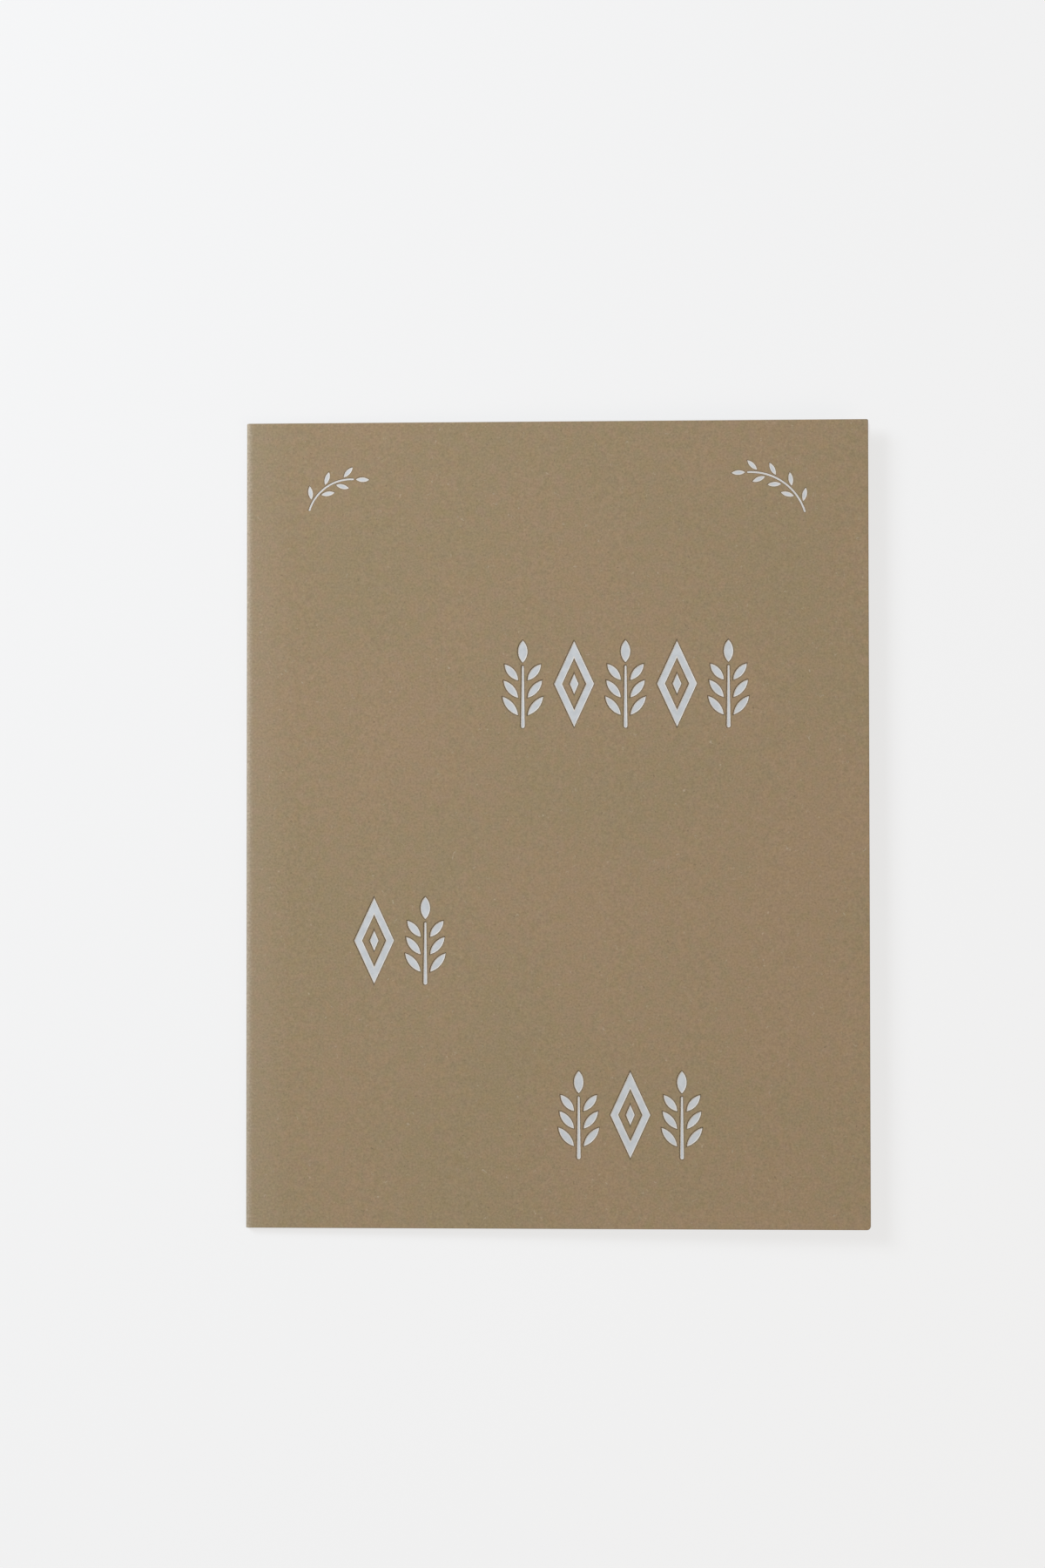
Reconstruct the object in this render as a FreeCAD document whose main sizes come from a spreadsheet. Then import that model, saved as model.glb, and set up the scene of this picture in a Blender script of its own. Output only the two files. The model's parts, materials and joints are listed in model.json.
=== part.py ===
# Folded greeting card: one sheet of thick card, creased once along its left side. It lies on its
# back leaf, and the cover stands slightly open, as a folded card does by its own spring.
# Leaf sprigs, lozenges and two fine corner sprays are pressed into the cover.
# Millimetres. +X runs from the fold to the free edge, +Y to the card's top, +Z out of the cover.
import FreeCAD, Part
import os
import Sketcher
from FreeCAD import Placement, Rotation, Vector

SIZES = {
    # The closed card, its stock and its crease
    "card_width": 107.95,
    "card_height": 139.7,
    "stock_thickness": 0.5,
    "inner_fold_radius": 0.2,
    "opening_angle": 1.5,
    # The free corners, which handling has rounded a little
    "lower_corner_radius": 0.7,
    "upper_corner_radius": 0.3,
    # How deep the ornaments are pressed, and how far their walls lean from upright
    "press_depth": 0.22,
    "fine_press_depth": 0.12,
    "press_wall_angle": 40,
    # Tall motifs, in rows that alternate leaf sprig and lozenge
    "motif_height": 15.5,
    "motif_pitch": 8.9,
    "upper_row_side_margin": 20.6,
    "upper_row_top_margin": 37.85,
    "left_row_side_margin": 18.7,
    "left_row_bottom_margin": 41.95,
    "lower_row_side_margin": 28.8,
    "lower_row_bottom_margin": 11.9,
    # The leaf sprig
    "stem_foot_width": 0.9,
    "stem_tip_width": 0.6,
    "lowest_leaf_height": 2.2,
    "leaf_length": 4.6,
    "leaf_shortening": 0.3,
    "leaf_rise_angle": 50,
    "leaf_gap": 0.4,
    "stem_gap": 0.25,
    "end_leaf_length": 4.2,
    "end_leaf_width": 1.9,
    # The lozenge
    "lozenge_width": 7.2,
    "lozenge_stroke": 1.5,
    "kernel_width": 1.8,
    "kernel_height": 4.2,
    # The fine sprays in the upper corners
    "left_spray_radius": 7.6,
    "left_spray_side_margin": 13.9,
    "left_spray_top_margin": 11.2,
    "right_spray_radius": 9.8,
    "right_spray_side_margin": 14.7,
    "right_spray_top_margin": 10.8,
    "spray_mid_angle": 55,
    "spray_sweep": 75,
    "spray_stem_width": 0.45,
    "spray_leaf_length": 2.6,
    "spray_leaf_width": 0.95,
    "spray_leaf_lean": 38,
    "spray_gap": 0.14,
}
LEAF_PAIRS = 3
LEFT_SPRAY_LEAVES = 5
RIGHT_SPRAY_LEAVES = 7

# Places that several features share, as expressions on the sheet of sizes
OUTER_FOLD_RADIUS = "(Sizes.inner_fold_radius + Sizes.stock_thickness)"
FOLD_CENTRE_X = f"({OUTER_FOLD_RADIUS} - Sizes.card_width / 2)"
MOTIF_HALF_WIDTH = "Sizes.lozenge_width / 2"
MOTIF_HALF_HEIGHT = "Sizes.motif_height / 2"

# How far apart two lengths may be and still count as equal
LENGTH_TOLERANCE = 1e-6

# Point positions on a sketch's lines and arcs
START, END, CENTRE = range(1, 4)
ORIGIN = (-1, 1)
X_AXIS, Y_AXIS = -1, -2

doc = FreeCAD.newDocument("greeting_card")
sheet = doc.addObject("Spreadsheet::Sheet", "Sizes")
for row, (alias, size) in enumerate(SIZES.items(), start=1):
    sheet.set(f"A{row}", alias)
    sheet.set(f"B{row}", str(size))
    sheet.setAlias(f"B{row}", alias)
doc.recompute()


def value(expression):
    """The number that an expression gives with the sizes as they are."""
    return float(sheet.evalExpression(expression))


def point(place):
    """A point from a pair of expressions."""
    return Vector(value(place[0]), value(place[1]), 0)


def origin_plane(body, role):
    """One of the three planes of a body's own origin."""
    return next(plane for plane in body.Origin.OriginFeatures if plane.Role == role)


def dimension(sketch, kind, *target, size):
    """Add a dimension to a sketch and bind it to an expression on the sheet."""
    index = sketch.addConstraint(Sketcher.Constraint(kind, *target, value(size)))
    sketch.setExpression(f"Constraints[{index}]", size)


def pin_point(sketch, geometry, end, place):
    """Hold one end of a line or arc at a place given by two expressions."""
    dimension(sketch, "DistanceX", *ORIGIN, geometry, end, size=place[0])
    dimension(sketch, "DistanceY", *ORIGIN, geometry, end, size=place[1])


def draw_leaf(sketch, base, heading, length, width, hand=1):
    """Draw a pointed leaf: two equal arcs that meet at its base and at its tip.

    hand -1 mirrors it in the sketch's upright axis.
    """
    start = (f"{hand} * ({base[0]})", base[1])
    end = (
        f"{hand} * ({base[0]} + ({length}) * cos({heading}))",
        f"{base[1]} + ({length}) * sin({heading})",
    )
    first, last = point(start), point(end)
    along = last.sub(first)
    sideways = Vector(-along.y, along.x, 0).normalize().multiply(value(f"({width}) / 2"))
    middle = first.add(last).multiply(0.5)
    right = sketch.addGeometry(Part.Arc(first, middle.sub(sideways), last))
    left = sketch.addGeometry(Part.Arc(last, middle.add(sideways), first))
    sketch.addConstraint(Sketcher.Constraint("Coincident", right, START, left, END))
    sketch.addConstraint(Sketcher.Constraint("Coincident", right, END, left, START))
    sketch.addConstraint(Sketcher.Constraint("Equal", right, left))
    pin_point(sketch, right, START, start)
    pin_point(sketch, right, END, end)
    dimension(sketch, "Radius", right, size=f"(({length})^2 + ({width})^2) / (4 * ({width}))")


def draw_stem(sketch, foot, tip):
    """Draw an upright bar with round ends, wider at its foot. foot and tip are their centres' heights."""
    foot_radius, tip_radius = "Sizes.stem_foot_width / 2", "Sizes.stem_tip_width / 2"
    foot_height, tip_height = value(foot), value(tip)
    foot_size, tip_size = value(foot_radius), value(tip_radius)
    lean = (foot_size - tip_size) / (tip_height - foot_height)
    across = (1 - lean**2) ** 0.5
    foot_right = Vector(foot_size * across, foot_height + foot_size * lean, 0)
    foot_left = Vector(-foot_right.x, foot_right.y, 0)
    tip_right = Vector(tip_size * across, tip_height + tip_size * lean, 0)
    tip_left = Vector(-tip_right.x, tip_right.y, 0)
    foot_end = sketch.addGeometry(
        Part.Arc(foot_left, Vector(0, foot_height - foot_size, 0), foot_right)
    )
    right_side = sketch.addGeometry(Part.LineSegment(foot_right, tip_right))
    tip_end = sketch.addGeometry(Part.Arc(tip_right, Vector(0, tip_height + tip_size, 0), tip_left))
    left_side = sketch.addGeometry(Part.LineSegment(tip_left, foot_left))
    round_joins(sketch, (foot_end, right_side, tip_end, left_side))
    for end, centre, radius in ((foot_end, foot, foot_radius), (tip_end, tip, tip_radius)):
        pin_point(sketch, end, CENTRE, ("0", centre))
        dimension(sketch, "Radius", end, size=radius)


def round_joins(sketch, loop):
    """Join lines and arcs end to start, each smooth with the next, in a closed loop."""
    for piece, following in zip(loop, loop[1:] + loop[:1]):
        sketch.addConstraint(Sketcher.Constraint("Tangent", piece, END, following, START))


def draw_sprig(sketch):
    """Draw a stem with pairs of rising leaves and one upright leaf at its tip."""
    foot = f"-{MOTIF_HALF_HEIGHT}"
    leafy_length = "(Sizes.motif_height - Sizes.lowest_leaf_height - Sizes.end_leaf_length)"
    spacing = f"{leafy_length} / {LEAF_PAIRS}"
    leaf_width = f"{spacing} * cos(Sizes.leaf_rise_angle) - Sizes.leaf_gap"
    end_base = f"{MOTIF_HALF_HEIGHT} - Sizes.end_leaf_length"
    draw_stem(
        sketch,
        f"{foot} + Sizes.stem_foot_width / 2",
        f"{end_base} - Sizes.stem_gap - Sizes.stem_tip_width / 2",
    )
    draw_leaf(sketch, ("0", end_base), "90", "Sizes.end_leaf_length", "Sizes.end_leaf_width")
    for pair in range(LEAF_PAIRS):
        base = (
            "Sizes.stem_foot_width / 2 + Sizes.stem_gap",
            f"{foot} + Sizes.lowest_leaf_height + {pair} * {spacing}",
        )
        length = f"Sizes.leaf_length - {pair} * Sizes.leaf_shortening"
        for hand in (1, -1):
            draw_leaf(sketch, base, "Sizes.leaf_rise_angle", length, leaf_width, hand)


def draw_rhombus(sketch, width, height):
    """Draw an upright rhombus round the sketch's origin."""
    corners = [
        (f"({width}) / 2", "0"),
        ("0", f"({height}) / 2"),
        (f"-({width}) / 2", "0"),
        ("0", f"-({height}) / 2"),
    ]
    following = corners[1:] + corners[:1]
    sides = [
        sketch.addGeometry(Part.LineSegment(point(corner), point(other)))
        for corner, other in zip(corners, following)
    ]
    for side, corner, before in zip(sides, corners, sides[-1:] + sides[:-1]):
        sketch.addConstraint(Sketcher.Constraint("Coincident", before, END, side, START))
        pin_point(sketch, side, START, corner)


def draw_lozenge(sketch):
    """Draw an outlined lozenge of even stroke with a small solid one, its kernel, inside."""
    diagonal = "sqrt(Sizes.lozenge_width^2 + Sizes.motif_height^2)"
    side_distance = f"Sizes.lozenge_width * Sizes.motif_height / (2 * {diagonal})"
    inner_share = f"(1 - Sizes.lozenge_stroke / ({side_distance}))"
    draw_rhombus(sketch, "Sizes.lozenge_width", "Sizes.motif_height")
    draw_rhombus(
        sketch,
        f"Sizes.lozenge_width * {inner_share}",
        f"Sizes.motif_height * {inner_share}",
    )
    draw_rhombus(sketch, "Sizes.kernel_width", "Sizes.kernel_height")


def on_arc(radius, angle, offset="0"):
    """A place on a spray's arc, or outside it by an offset. The arc's middle is the sketch's origin."""
    reach = f"({radius} + {offset})"
    return (
        f"{reach} * cos({angle}) - {radius} * cos(Sizes.spray_mid_angle)",
        f"{reach} * sin({angle}) - {radius} * sin(Sizes.spray_mid_angle)",
    )


def draw_curved_stem(sketch, radius, foot_angle, tip_angle, hand):
    """Draw an even bar with round ends, bent along an arc. hand -1 mirrors it."""
    half_width = "Sizes.spray_stem_width / 2"

    def place(angle, offset="0"):
        across, up = on_arc(radius, angle, offset)
        return (f"{hand} * ({across})", up)

    def beyond(angle, turn):
        """The end of the bar, half its width past its end's centre."""
        centre = point(place(angle))
        heading = f"{angle} + {turn}"
        step = Vector(value(f"{hand} * cos({heading})"), value(f"sin({heading})"), 0)
        return centre.add(step.multiply(value(half_width)))

    middle_angle = "Sizes.spray_mid_angle"
    outer_foot, outer_tip = point(place(foot_angle, half_width)), point(place(tip_angle, half_width))
    inner_foot = point(place(foot_angle, f"-{half_width}"))
    inner_tip = point(place(tip_angle, f"-{half_width}"))
    outer_middle, inner_middle = place(middle_angle, half_width), place(middle_angle, f"-{half_width}")
    outer = sketch.addGeometry(Part.Arc(outer_foot, point(outer_middle), outer_tip))
    tip_end = sketch.addGeometry(Part.Arc(outer_tip, beyond(tip_angle, 90), inner_tip))
    inner = sketch.addGeometry(Part.Arc(inner_tip, point(inner_middle), inner_foot))
    foot_end = sketch.addGeometry(Part.Arc(inner_foot, beyond(foot_angle, -90), outer_foot))
    first, last = (START, END) if hand > 0 else (END, START)
    for rule in (
        ("Tangent", outer, last, tip_end, first),
        ("Tangent", tip_end, last, inner, last),
        ("Tangent", inner, first, foot_end, first),
        ("Tangent", foot_end, last, outer, first),
        ("Coincident", outer, CENTRE, inner, CENTRE),
    ):
        sketch.addConstraint(Sketcher.Constraint(*rule))
    arc_centre = on_arc(radius, "0", f"-{radius}")
    pin_point(sketch, outer, CENTRE, (f"{hand} * ({arc_centre[0]})", arc_centre[1]))
    dimension(sketch, "Radius", outer, size=f"{radius} + {half_width}")
    dimension(sketch, "Radius", inner, size=f"{radius} - {half_width}")
    dimension(sketch, "DistanceY", *ORIGIN, foot_end, CENTRE, size=place(foot_angle)[1])
    dimension(sketch, "DistanceX", *ORIGIN, tip_end, CENTRE, size=place(tip_angle)[0])


def draw_spray(sketch, radius, leaves, hand):
    """Draw a curved stem with small leaves on alternate sides and one leaf at its tip.

    hand 1 grows up and to the left, -1 mirrors it.
    """
    foot_angle = "(Sizes.spray_mid_angle - Sizes.spray_sweep / 2)"
    tip_angle = "(Sizes.spray_mid_angle + Sizes.spray_sweep / 2)"
    draw_curved_stem(sketch, radius, foot_angle, tip_angle, hand)
    length, width = "Sizes.spray_leaf_length", "Sizes.spray_leaf_width"
    clear_of_stem = "(Sizes.spray_stem_width / 2 + Sizes.spray_gap)"
    for leaf in range(leaves):
        side = 1 if leaf % 2 == 0 else -1
        angle = f"({foot_angle} + Sizes.spray_sweep * {leaf + 1} / {leaves + 1})"
        base = on_arc(radius, angle, f"{side} * {clear_of_stem}")
        heading = f"{angle} + 90 - {side} * Sizes.spray_leaf_lean"
        draw_leaf(sketch, base, heading, length, width, hand)
    tip = on_arc(radius, tip_angle)
    beyond_tip = (
        f"{tip[0]} + {clear_of_stem} * cos({tip_angle} + 90)",
        f"{tip[1]} + {clear_of_stem} * sin({tip_angle} + 90)",
    )
    draw_leaf(sketch, beyond_tip, f"{tip_angle} + 90", length, width, hand)


def cover_sketch(body, name, across, up):
    """Make a sketch on the cover's outer face.

    across is measured from the fold along the cover, and up from the card's lower edge.
    """
    sketch = body.newObject("Sketcher::SketchObject", name)
    sketch.AttachmentSupport = (origin_plane(body, "XY_Plane"), [""])
    sketch.MapMode = "FlatFace"
    sketch.AttachmentOffset = Placement(Vector(), Rotation(Vector(0, -1, 0), SIZES["opening_angle"]))
    along_cover = f"({across} - {OUTER_FOLD_RADIUS})"
    angle = "Sizes.opening_angle"
    sketch.setExpression(
        "AttachmentOffset.Base.x",
        f"{FOLD_CENTRE_X} - {OUTER_FOLD_RADIUS} * sin({angle}) + {along_cover} * cos({angle})",
    )
    sketch.setExpression("AttachmentOffset.Base.y", f"{up} - Sizes.card_height / 2")
    sketch.setExpression(
        "AttachmentOffset.Base.z",
        f"{OUTER_FOLD_RADIUS} * (1 + cos({angle})) + {along_cover} * sin({angle})",
    )
    sketch.setExpression("AttachmentOffset.Rotation.Angle", angle)
    return sketch


def press(body, sketch, depth, copies=1, pitch=None):
    """Press a sketch's outlines into the cover, with leaning walls, once or in an even row."""
    pocket = body.newObject("PartDesign::Pocket", f"{sketch.Name}_pressing")
    pocket.Profile = sketch
    pocket.setExpression("Length", depth)
    pocket.setExpression("TaperAngle", "-Sizes.press_wall_angle")
    body.Tip = pocket
    if copies > 1:
        row = body.newObject("PartDesign::LinearPattern", f"{sketch.Name}_row")
        row.Originals = [pocket]
        row.Direction = (sketch, ["H_Axis"])
        row.Mode = "Spacing"
        row.Occurrences = copies
        row.setExpression("Offset", pitch)
        body.Tip = row


def press_row(body, name, motifs, left_end, up):
    """Press a row of tall motifs, which alternate between the two kinds in their drawing order."""
    drawers = {"sprig": draw_sprig, "lozenge": draw_lozenge}
    for place, kind in enumerate(motifs[:2]):
        across = f"({left_end} + {MOTIF_HALF_WIDTH} + {place} * Sizes.motif_pitch)"
        sketch = cover_sketch(body, f"{name}_{kind}", across, up)
        drawers[kind](sketch)
        press(body, sketch, "Sizes.press_depth", motifs.count(kind), "2 * Sizes.motif_pitch")


def draw_section(sketch):
    """Draw the folded sheet's section: back leaf, round crease and cover, all of one thickness."""
    radius, inner = value(OUTER_FOLD_RADIUS), value("Sizes.inner_fold_radius")
    half_width, thickness = value("Sizes.card_width / 2"), value("Sizes.stock_thickness")
    centre = Vector(value(FOLD_CENTRE_X), radius, 0)
    angle = "Sizes.opening_angle"
    along = Vector(value(f"cos({angle})"), value(f"sin({angle})"), 0)
    outward = Vector(-along.y, along.x, 0)
    reach = f"Sizes.card_width - {OUTER_FOLD_RADIUS}"

    def on_cover(distance, height):
        """A point at a distance from the crease's centre line and a height above it."""
        return centre.add(Vector(along).multiply(distance)).add(Vector(outward).multiply(height))

    free_corner, back_start = Vector(half_width, 0, 0), Vector(centre.x, 0, 0)
    back_inner, free_inner = Vector(centre.x, thickness, 0), Vector(half_width, thickness, 0)
    cover_start, cover_end = on_cover(0, radius), on_cover(value(reach), radius)
    inner_end, inner_start = on_cover(value(reach), inner), on_cover(0, inner)
    outer_crown = centre.add(Vector(-radius, 0, 0))
    inner_crown = centre.add(Vector(-inner, 0, 0))
    outline = [
        Part.LineSegment(free_corner, back_start),
        Part.Arc(back_start, outer_crown, cover_start),
        Part.LineSegment(cover_start, cover_end),
        Part.LineSegment(cover_end, inner_end),
        Part.LineSegment(inner_end, inner_start),
        Part.Arc(inner_start, inner_crown, back_inner),
        Part.LineSegment(back_inner, free_inner),
        Part.LineSegment(free_inner, free_corner),
    ]
    back_outside, crease_outside, cover_outside, cover_edge = map(sketch.addGeometry, outline[:4])
    cover_inside, crease_inside, back_inside, back_edge = map(sketch.addGeometry, outline[4:])
    for rule in (
        ("Tangent", back_outside, END, crease_outside, END),
        ("Tangent", crease_outside, START, cover_outside, START),
        ("Coincident", cover_outside, END, cover_edge, START),
        ("Coincident", cover_edge, END, cover_inside, START),
        ("Tangent", cover_inside, END, crease_inside, START),
        ("Tangent", crease_inside, END, back_inside, START),
        ("Coincident", back_inside, END, back_edge, START),
        ("Coincident", back_edge, END, back_outside, START),
        ("Coincident", crease_outside, CENTRE, crease_inside, CENTRE),
        ("PointOnObject", back_outside, START, X_AXIS),
        ("Horizontal", back_outside),
        ("Horizontal", back_inside),
        ("Vertical", back_edge),
        ("Perpendicular", cover_outside, cover_edge),
        ("Parallel", cover_outside, cover_inside),
    ):
        sketch.addConstraint(Sketcher.Constraint(*rule))
    dimension(sketch, "DistanceX", *ORIGIN, back_outside, START, size="Sizes.card_width / 2")
    dimension(sketch, "DistanceX", *ORIGIN, crease_outside, CENTRE, size=FOLD_CENTRE_X)
    dimension(sketch, "Radius", crease_outside, size=OUTER_FOLD_RADIUS)
    dimension(sketch, "Radius", crease_inside, size="Sizes.inner_fold_radius")
    dimension(sketch, "Distance", cover_outside, size=reach)
    dimension(sketch, "Angle", cover_outside, size=angle)


def free_corner_edges(shape, side):
    """The short edges at the free corners of both leaves, on the lower (-1) or upper (1) side."""
    thickness, half_height = value("Sizes.stock_thickness"), value("Sizes.card_height / 2")
    names = []
    for number, edge in enumerate(shape.Edges, start=1):
        place = edge.CenterOfMass
        is_short = abs(edge.Length - thickness) < LENGTH_TOLERANCE
        is_at_side = abs(place.y - side * half_height) < LENGTH_TOLERANCE
        if is_short and is_at_side and place.x > 0:
            names.append(f"Edge{number}")
    return names


def round_corners(body, name, side, radius):
    """Round the free corners of both leaves on one side of the card."""
    base = body.Tip
    fillet = body.newObject("PartDesign::Fillet", name)
    fillet.Base = (base, free_corner_edges(base.Shape, side))
    fillet.setExpression("Radius", radius)
    body.Tip = fillet
    doc.recompute()


def build_card():
    """Build the folded sheet, with its rounded corners and its pressed ornaments."""
    body = doc.addObject("PartDesign::Body", "folded_card")
    body.Label = "folded_card"
    body.Placement = Placement()
    section = body.newObject("Sketcher::SketchObject", "folded_section")
    section.AttachmentSupport = (origin_plane(body, "XZ_Plane"), [""])
    section.MapMode = "FlatFace"
    draw_section(section)
    sheet_pad = body.newObject("PartDesign::Pad", "folded_sheet")
    sheet_pad.Profile = section
    sheet_pad.SideType = "Symmetric"
    sheet_pad.setExpression("Length", "Sizes.card_height")
    doc.recompute()
    round_corners(body, "lower_corners", -1, "Sizes.lower_corner_radius")
    round_corners(body, "upper_corners", 1, "Sizes.upper_corner_radius")

    press_row(
        body,
        "upper_row",
        ["sprig", "lozenge", "sprig", "lozenge", "sprig"],
        "(Sizes.card_width - Sizes.upper_row_side_margin - 4 * Sizes.motif_pitch"
        " - Sizes.lozenge_width)",
        f"(Sizes.card_height - Sizes.upper_row_top_margin - {MOTIF_HALF_HEIGHT})",
    )
    press_row(
        body,
        "left_row",
        ["lozenge", "sprig"],
        "Sizes.left_row_side_margin",
        f"(Sizes.left_row_bottom_margin + {MOTIF_HALF_HEIGHT})",
    )
    press_row(
        body,
        "lower_row",
        ["sprig", "lozenge", "sprig"],
        "(Sizes.card_width - Sizes.lower_row_side_margin - 2 * Sizes.motif_pitch"
        " - Sizes.lozenge_width)",
        f"(Sizes.lower_row_bottom_margin + {MOTIF_HALF_HEIGHT})",
    )
    for name, across, leaves, hand in (
        ("left_spray", "Sizes.left_spray_side_margin", LEFT_SPRAY_LEAVES, -1),
        (
            "right_spray",
            "(Sizes.card_width - Sizes.right_spray_side_margin)",
            RIGHT_SPRAY_LEAVES,
            1,
        ),
    ):
        up = f"(Sizes.card_height - Sizes.{name}_top_margin)"
        sketch = cover_sketch(body, name, across, up)
        draw_spray(sketch, f"Sizes.{name}_radius", leaves, hand)
        press(body, sketch, "Sizes.fine_press_depth")
    doc.recompute()
    return body


def check_model(body):
    """Stop unless every feature is sound, the card is one solid and each pressing removes some of it."""
    for item in doc.Objects:
        faults = [state for state in item.State if state in ("Invalid", "Error")]
        if faults:
            raise RuntimeError(f"{item.Name} is {', '.join(faults)}")
    if body.Shape.isNull() or not body.Shape.isValid() or len(body.Shape.Solids) != 1:
        raise RuntimeError(f"{body.Label} isn't one valid solid")
    for feature in body.Group:
        if feature.TypeId in ("PartDesign::Pocket", "PartDesign::LinearPattern"):
            removed = feature.BaseFeature.Shape.Volume - feature.Shape.Volume
            if removed <= 0:
                raise RuntimeError(f"{feature.Name} removes nothing")
            print(f"{feature.Name} removes {removed:.3f} mm3")


card = build_card()
check_model(card)
os.makedirs("parts", exist_ok=True)
card.Shape.exportStep(os.path.join("parts", f"{card.Label}.step"))
box = card.Shape.BoundBox
print(f"{card.Label}: {box.XLength:.2f} x {box.YLength:.2f} x {box.ZLength:.2f} mm")
print(f"{card.Label}: {card.Shape.Volume:.1f} mm3, {len(card.Shape.Faces)} faces")
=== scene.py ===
"""Looks of a folded greeting card: thick tan stock, ornaments pressed into its cover, white foil."""

import json
import logging
import math
from collections.abc import Callable, Iterable, Sequence
from dataclasses import dataclass, field
from enum import Enum

import bmesh
import bpy
from mathutils import Matrix, Vector

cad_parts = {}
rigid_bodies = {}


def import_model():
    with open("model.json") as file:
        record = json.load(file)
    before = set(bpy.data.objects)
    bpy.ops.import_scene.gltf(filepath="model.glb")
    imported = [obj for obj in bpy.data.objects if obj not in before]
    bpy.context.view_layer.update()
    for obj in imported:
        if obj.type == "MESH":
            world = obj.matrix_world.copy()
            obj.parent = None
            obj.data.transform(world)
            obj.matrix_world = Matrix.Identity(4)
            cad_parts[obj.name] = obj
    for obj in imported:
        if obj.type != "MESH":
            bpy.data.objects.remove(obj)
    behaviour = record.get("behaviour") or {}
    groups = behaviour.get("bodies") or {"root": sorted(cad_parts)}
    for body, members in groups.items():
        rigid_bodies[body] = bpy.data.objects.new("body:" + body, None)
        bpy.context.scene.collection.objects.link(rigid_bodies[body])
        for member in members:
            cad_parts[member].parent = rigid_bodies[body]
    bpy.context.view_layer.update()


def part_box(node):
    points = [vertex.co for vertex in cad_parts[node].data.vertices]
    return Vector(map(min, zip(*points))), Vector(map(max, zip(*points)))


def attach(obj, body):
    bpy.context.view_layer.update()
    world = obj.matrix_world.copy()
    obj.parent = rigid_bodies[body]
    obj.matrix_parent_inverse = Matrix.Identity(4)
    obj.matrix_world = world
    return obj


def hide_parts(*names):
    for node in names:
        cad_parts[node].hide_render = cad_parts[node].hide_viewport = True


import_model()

LOG = logging.getLogger("greeting_card")
CARD_NODE = "folded_card"

MM = 0.001
# Lengths that differ by less count as equal
HAIR = 1e-6

# The mesh attribute that marks the pressed rims, and the cut edges' place among the card's materials
RIM = "rim"
CUT_INDEX = 1

Colour = tuple[float, float, float, float]
Outline = list[Vector]
# Draws an outline moved in by a distance
Edge = Callable[[float], Outline]
MeshTest = Callable[[bmesh.types.BMFace | bmesh.types.BMEdge], bool]


@dataclass(frozen=True)
class Level:
    """One ring of a pressed section, and how far it belongs to the press's rim."""

    inset: float
    drop: float
    rim: float = 1.0


class Motif(Enum):
    """The two kinds of tall ornament."""

    SPRIG = "sprig"
    LOZENGE = "lozenge"


class Slot(Enum):
    """The record's material slots."""

    CARD_STOCK = "card_stock"
    WHITE_FOIL = "white_foil"


class Element(Enum):
    """What of a mesh is picked."""

    FACE = "FACE"
    EDGE = "EDGE"


class Side(Enum):
    """The sides of the folded sheet that its texture map keeps apart."""

    COVER_OUTSIDE = "cover_outside"
    COVER_INSIDE = "cover_inside"
    COVER_END = "cover_end"
    BACK_OUTSIDE = "back_outside"
    BACK_INSIDE = "back_inside"
    BACK_END = "back_end"
    LOWER_EDGE = "lower_edge"
    UPPER_EDGE = "upper_edge"


def srgb(red: int, green: int, blue: int) -> Colour:
    """Turn a display colour into the linear one that shaders take.

    Args:
        red, green, blue: the colour as it should look on screen, each 0 to 255.

    Returns:
        The linear colour with an alpha of 1.
    """

    def linear(channel: int) -> float:
        """One channel, from display to linear."""
        share = channel / 255
        return share / 12.92 if share <= 0.04045 else ((share + 0.055) / 1.055) ** 2.4

    return (linear(red), linear(green), linear(blue), 1.0)


class Signal:
    """A number that varies over a surface, with Python's operators as Math nodes."""

    def __init__(self, nodes: "NodeTree", socket: bpy.types.NodeSocket) -> None:
        """Wrap an output socket of a tree."""
        self.nodes = nodes
        self.socket = socket

    def math(
        self, operation: str, *others: "Signal | float", first: "Signal | float | None" = None
    ) -> "Signal":
        """Combine this signal with others in one Math node.

        Args:
            operation: the Math node's operation.
            others: the values after this one.
            first: a value to put before this one, for the reflected operators.

        Returns:
            The node's result.
        """
        values = [*([] if first is None else [first]), self, *others]
        node = self.nodes.add("ShaderNodeMath", {"operation": operation}, dict(enumerate(values)))
        return Signal(self.nodes, node.outputs[0])

    def __add__(self, other: "Signal | float") -> "Signal":
        """This plus other."""
        return self.math("ADD", other)

    def __sub__(self, other: "Signal | float") -> "Signal":
        """This less other."""
        return self.math("SUBTRACT", other)

    def __rsub__(self, other: float) -> "Signal":
        """Other less this."""
        return self.math("SUBTRACT", first=other)

    def __mul__(self, other: "Signal | float") -> "Signal":
        """This times other."""
        return self.math("MULTIPLY", other)

    def __abs__(self) -> "Signal":
        """This without its sign."""
        return self.math("ABSOLUTE")

    def blend(self, other: "Signal", share: float) -> "Signal":
        """This with a share of another signal in its place."""
        return self * (1 - share) + other * share

    def ramp(self, low: float, high: float) -> "Signal":
        """Rise smoothly from 0 at low to 1 at high, or fall if low is above high.

        Args:
            low: the value that gives 0.
            high: the value that gives 1.

        Returns:
            The eased signal, from 0 to 1.
        """
        falls = low > high
        bounds = (high, low) if falls else (low, high)
        node = self.nodes.add(
            "ShaderNodeMapRange",
            {"interpolation_type": "SMOOTHSTEP"},
            {"Value": self, "From Min": bounds[0], "From Max": bounds[1]},
        )
        eased = Signal(self.nodes, node.outputs["Result"])
        return 1 - eased if falls else eased


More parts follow.
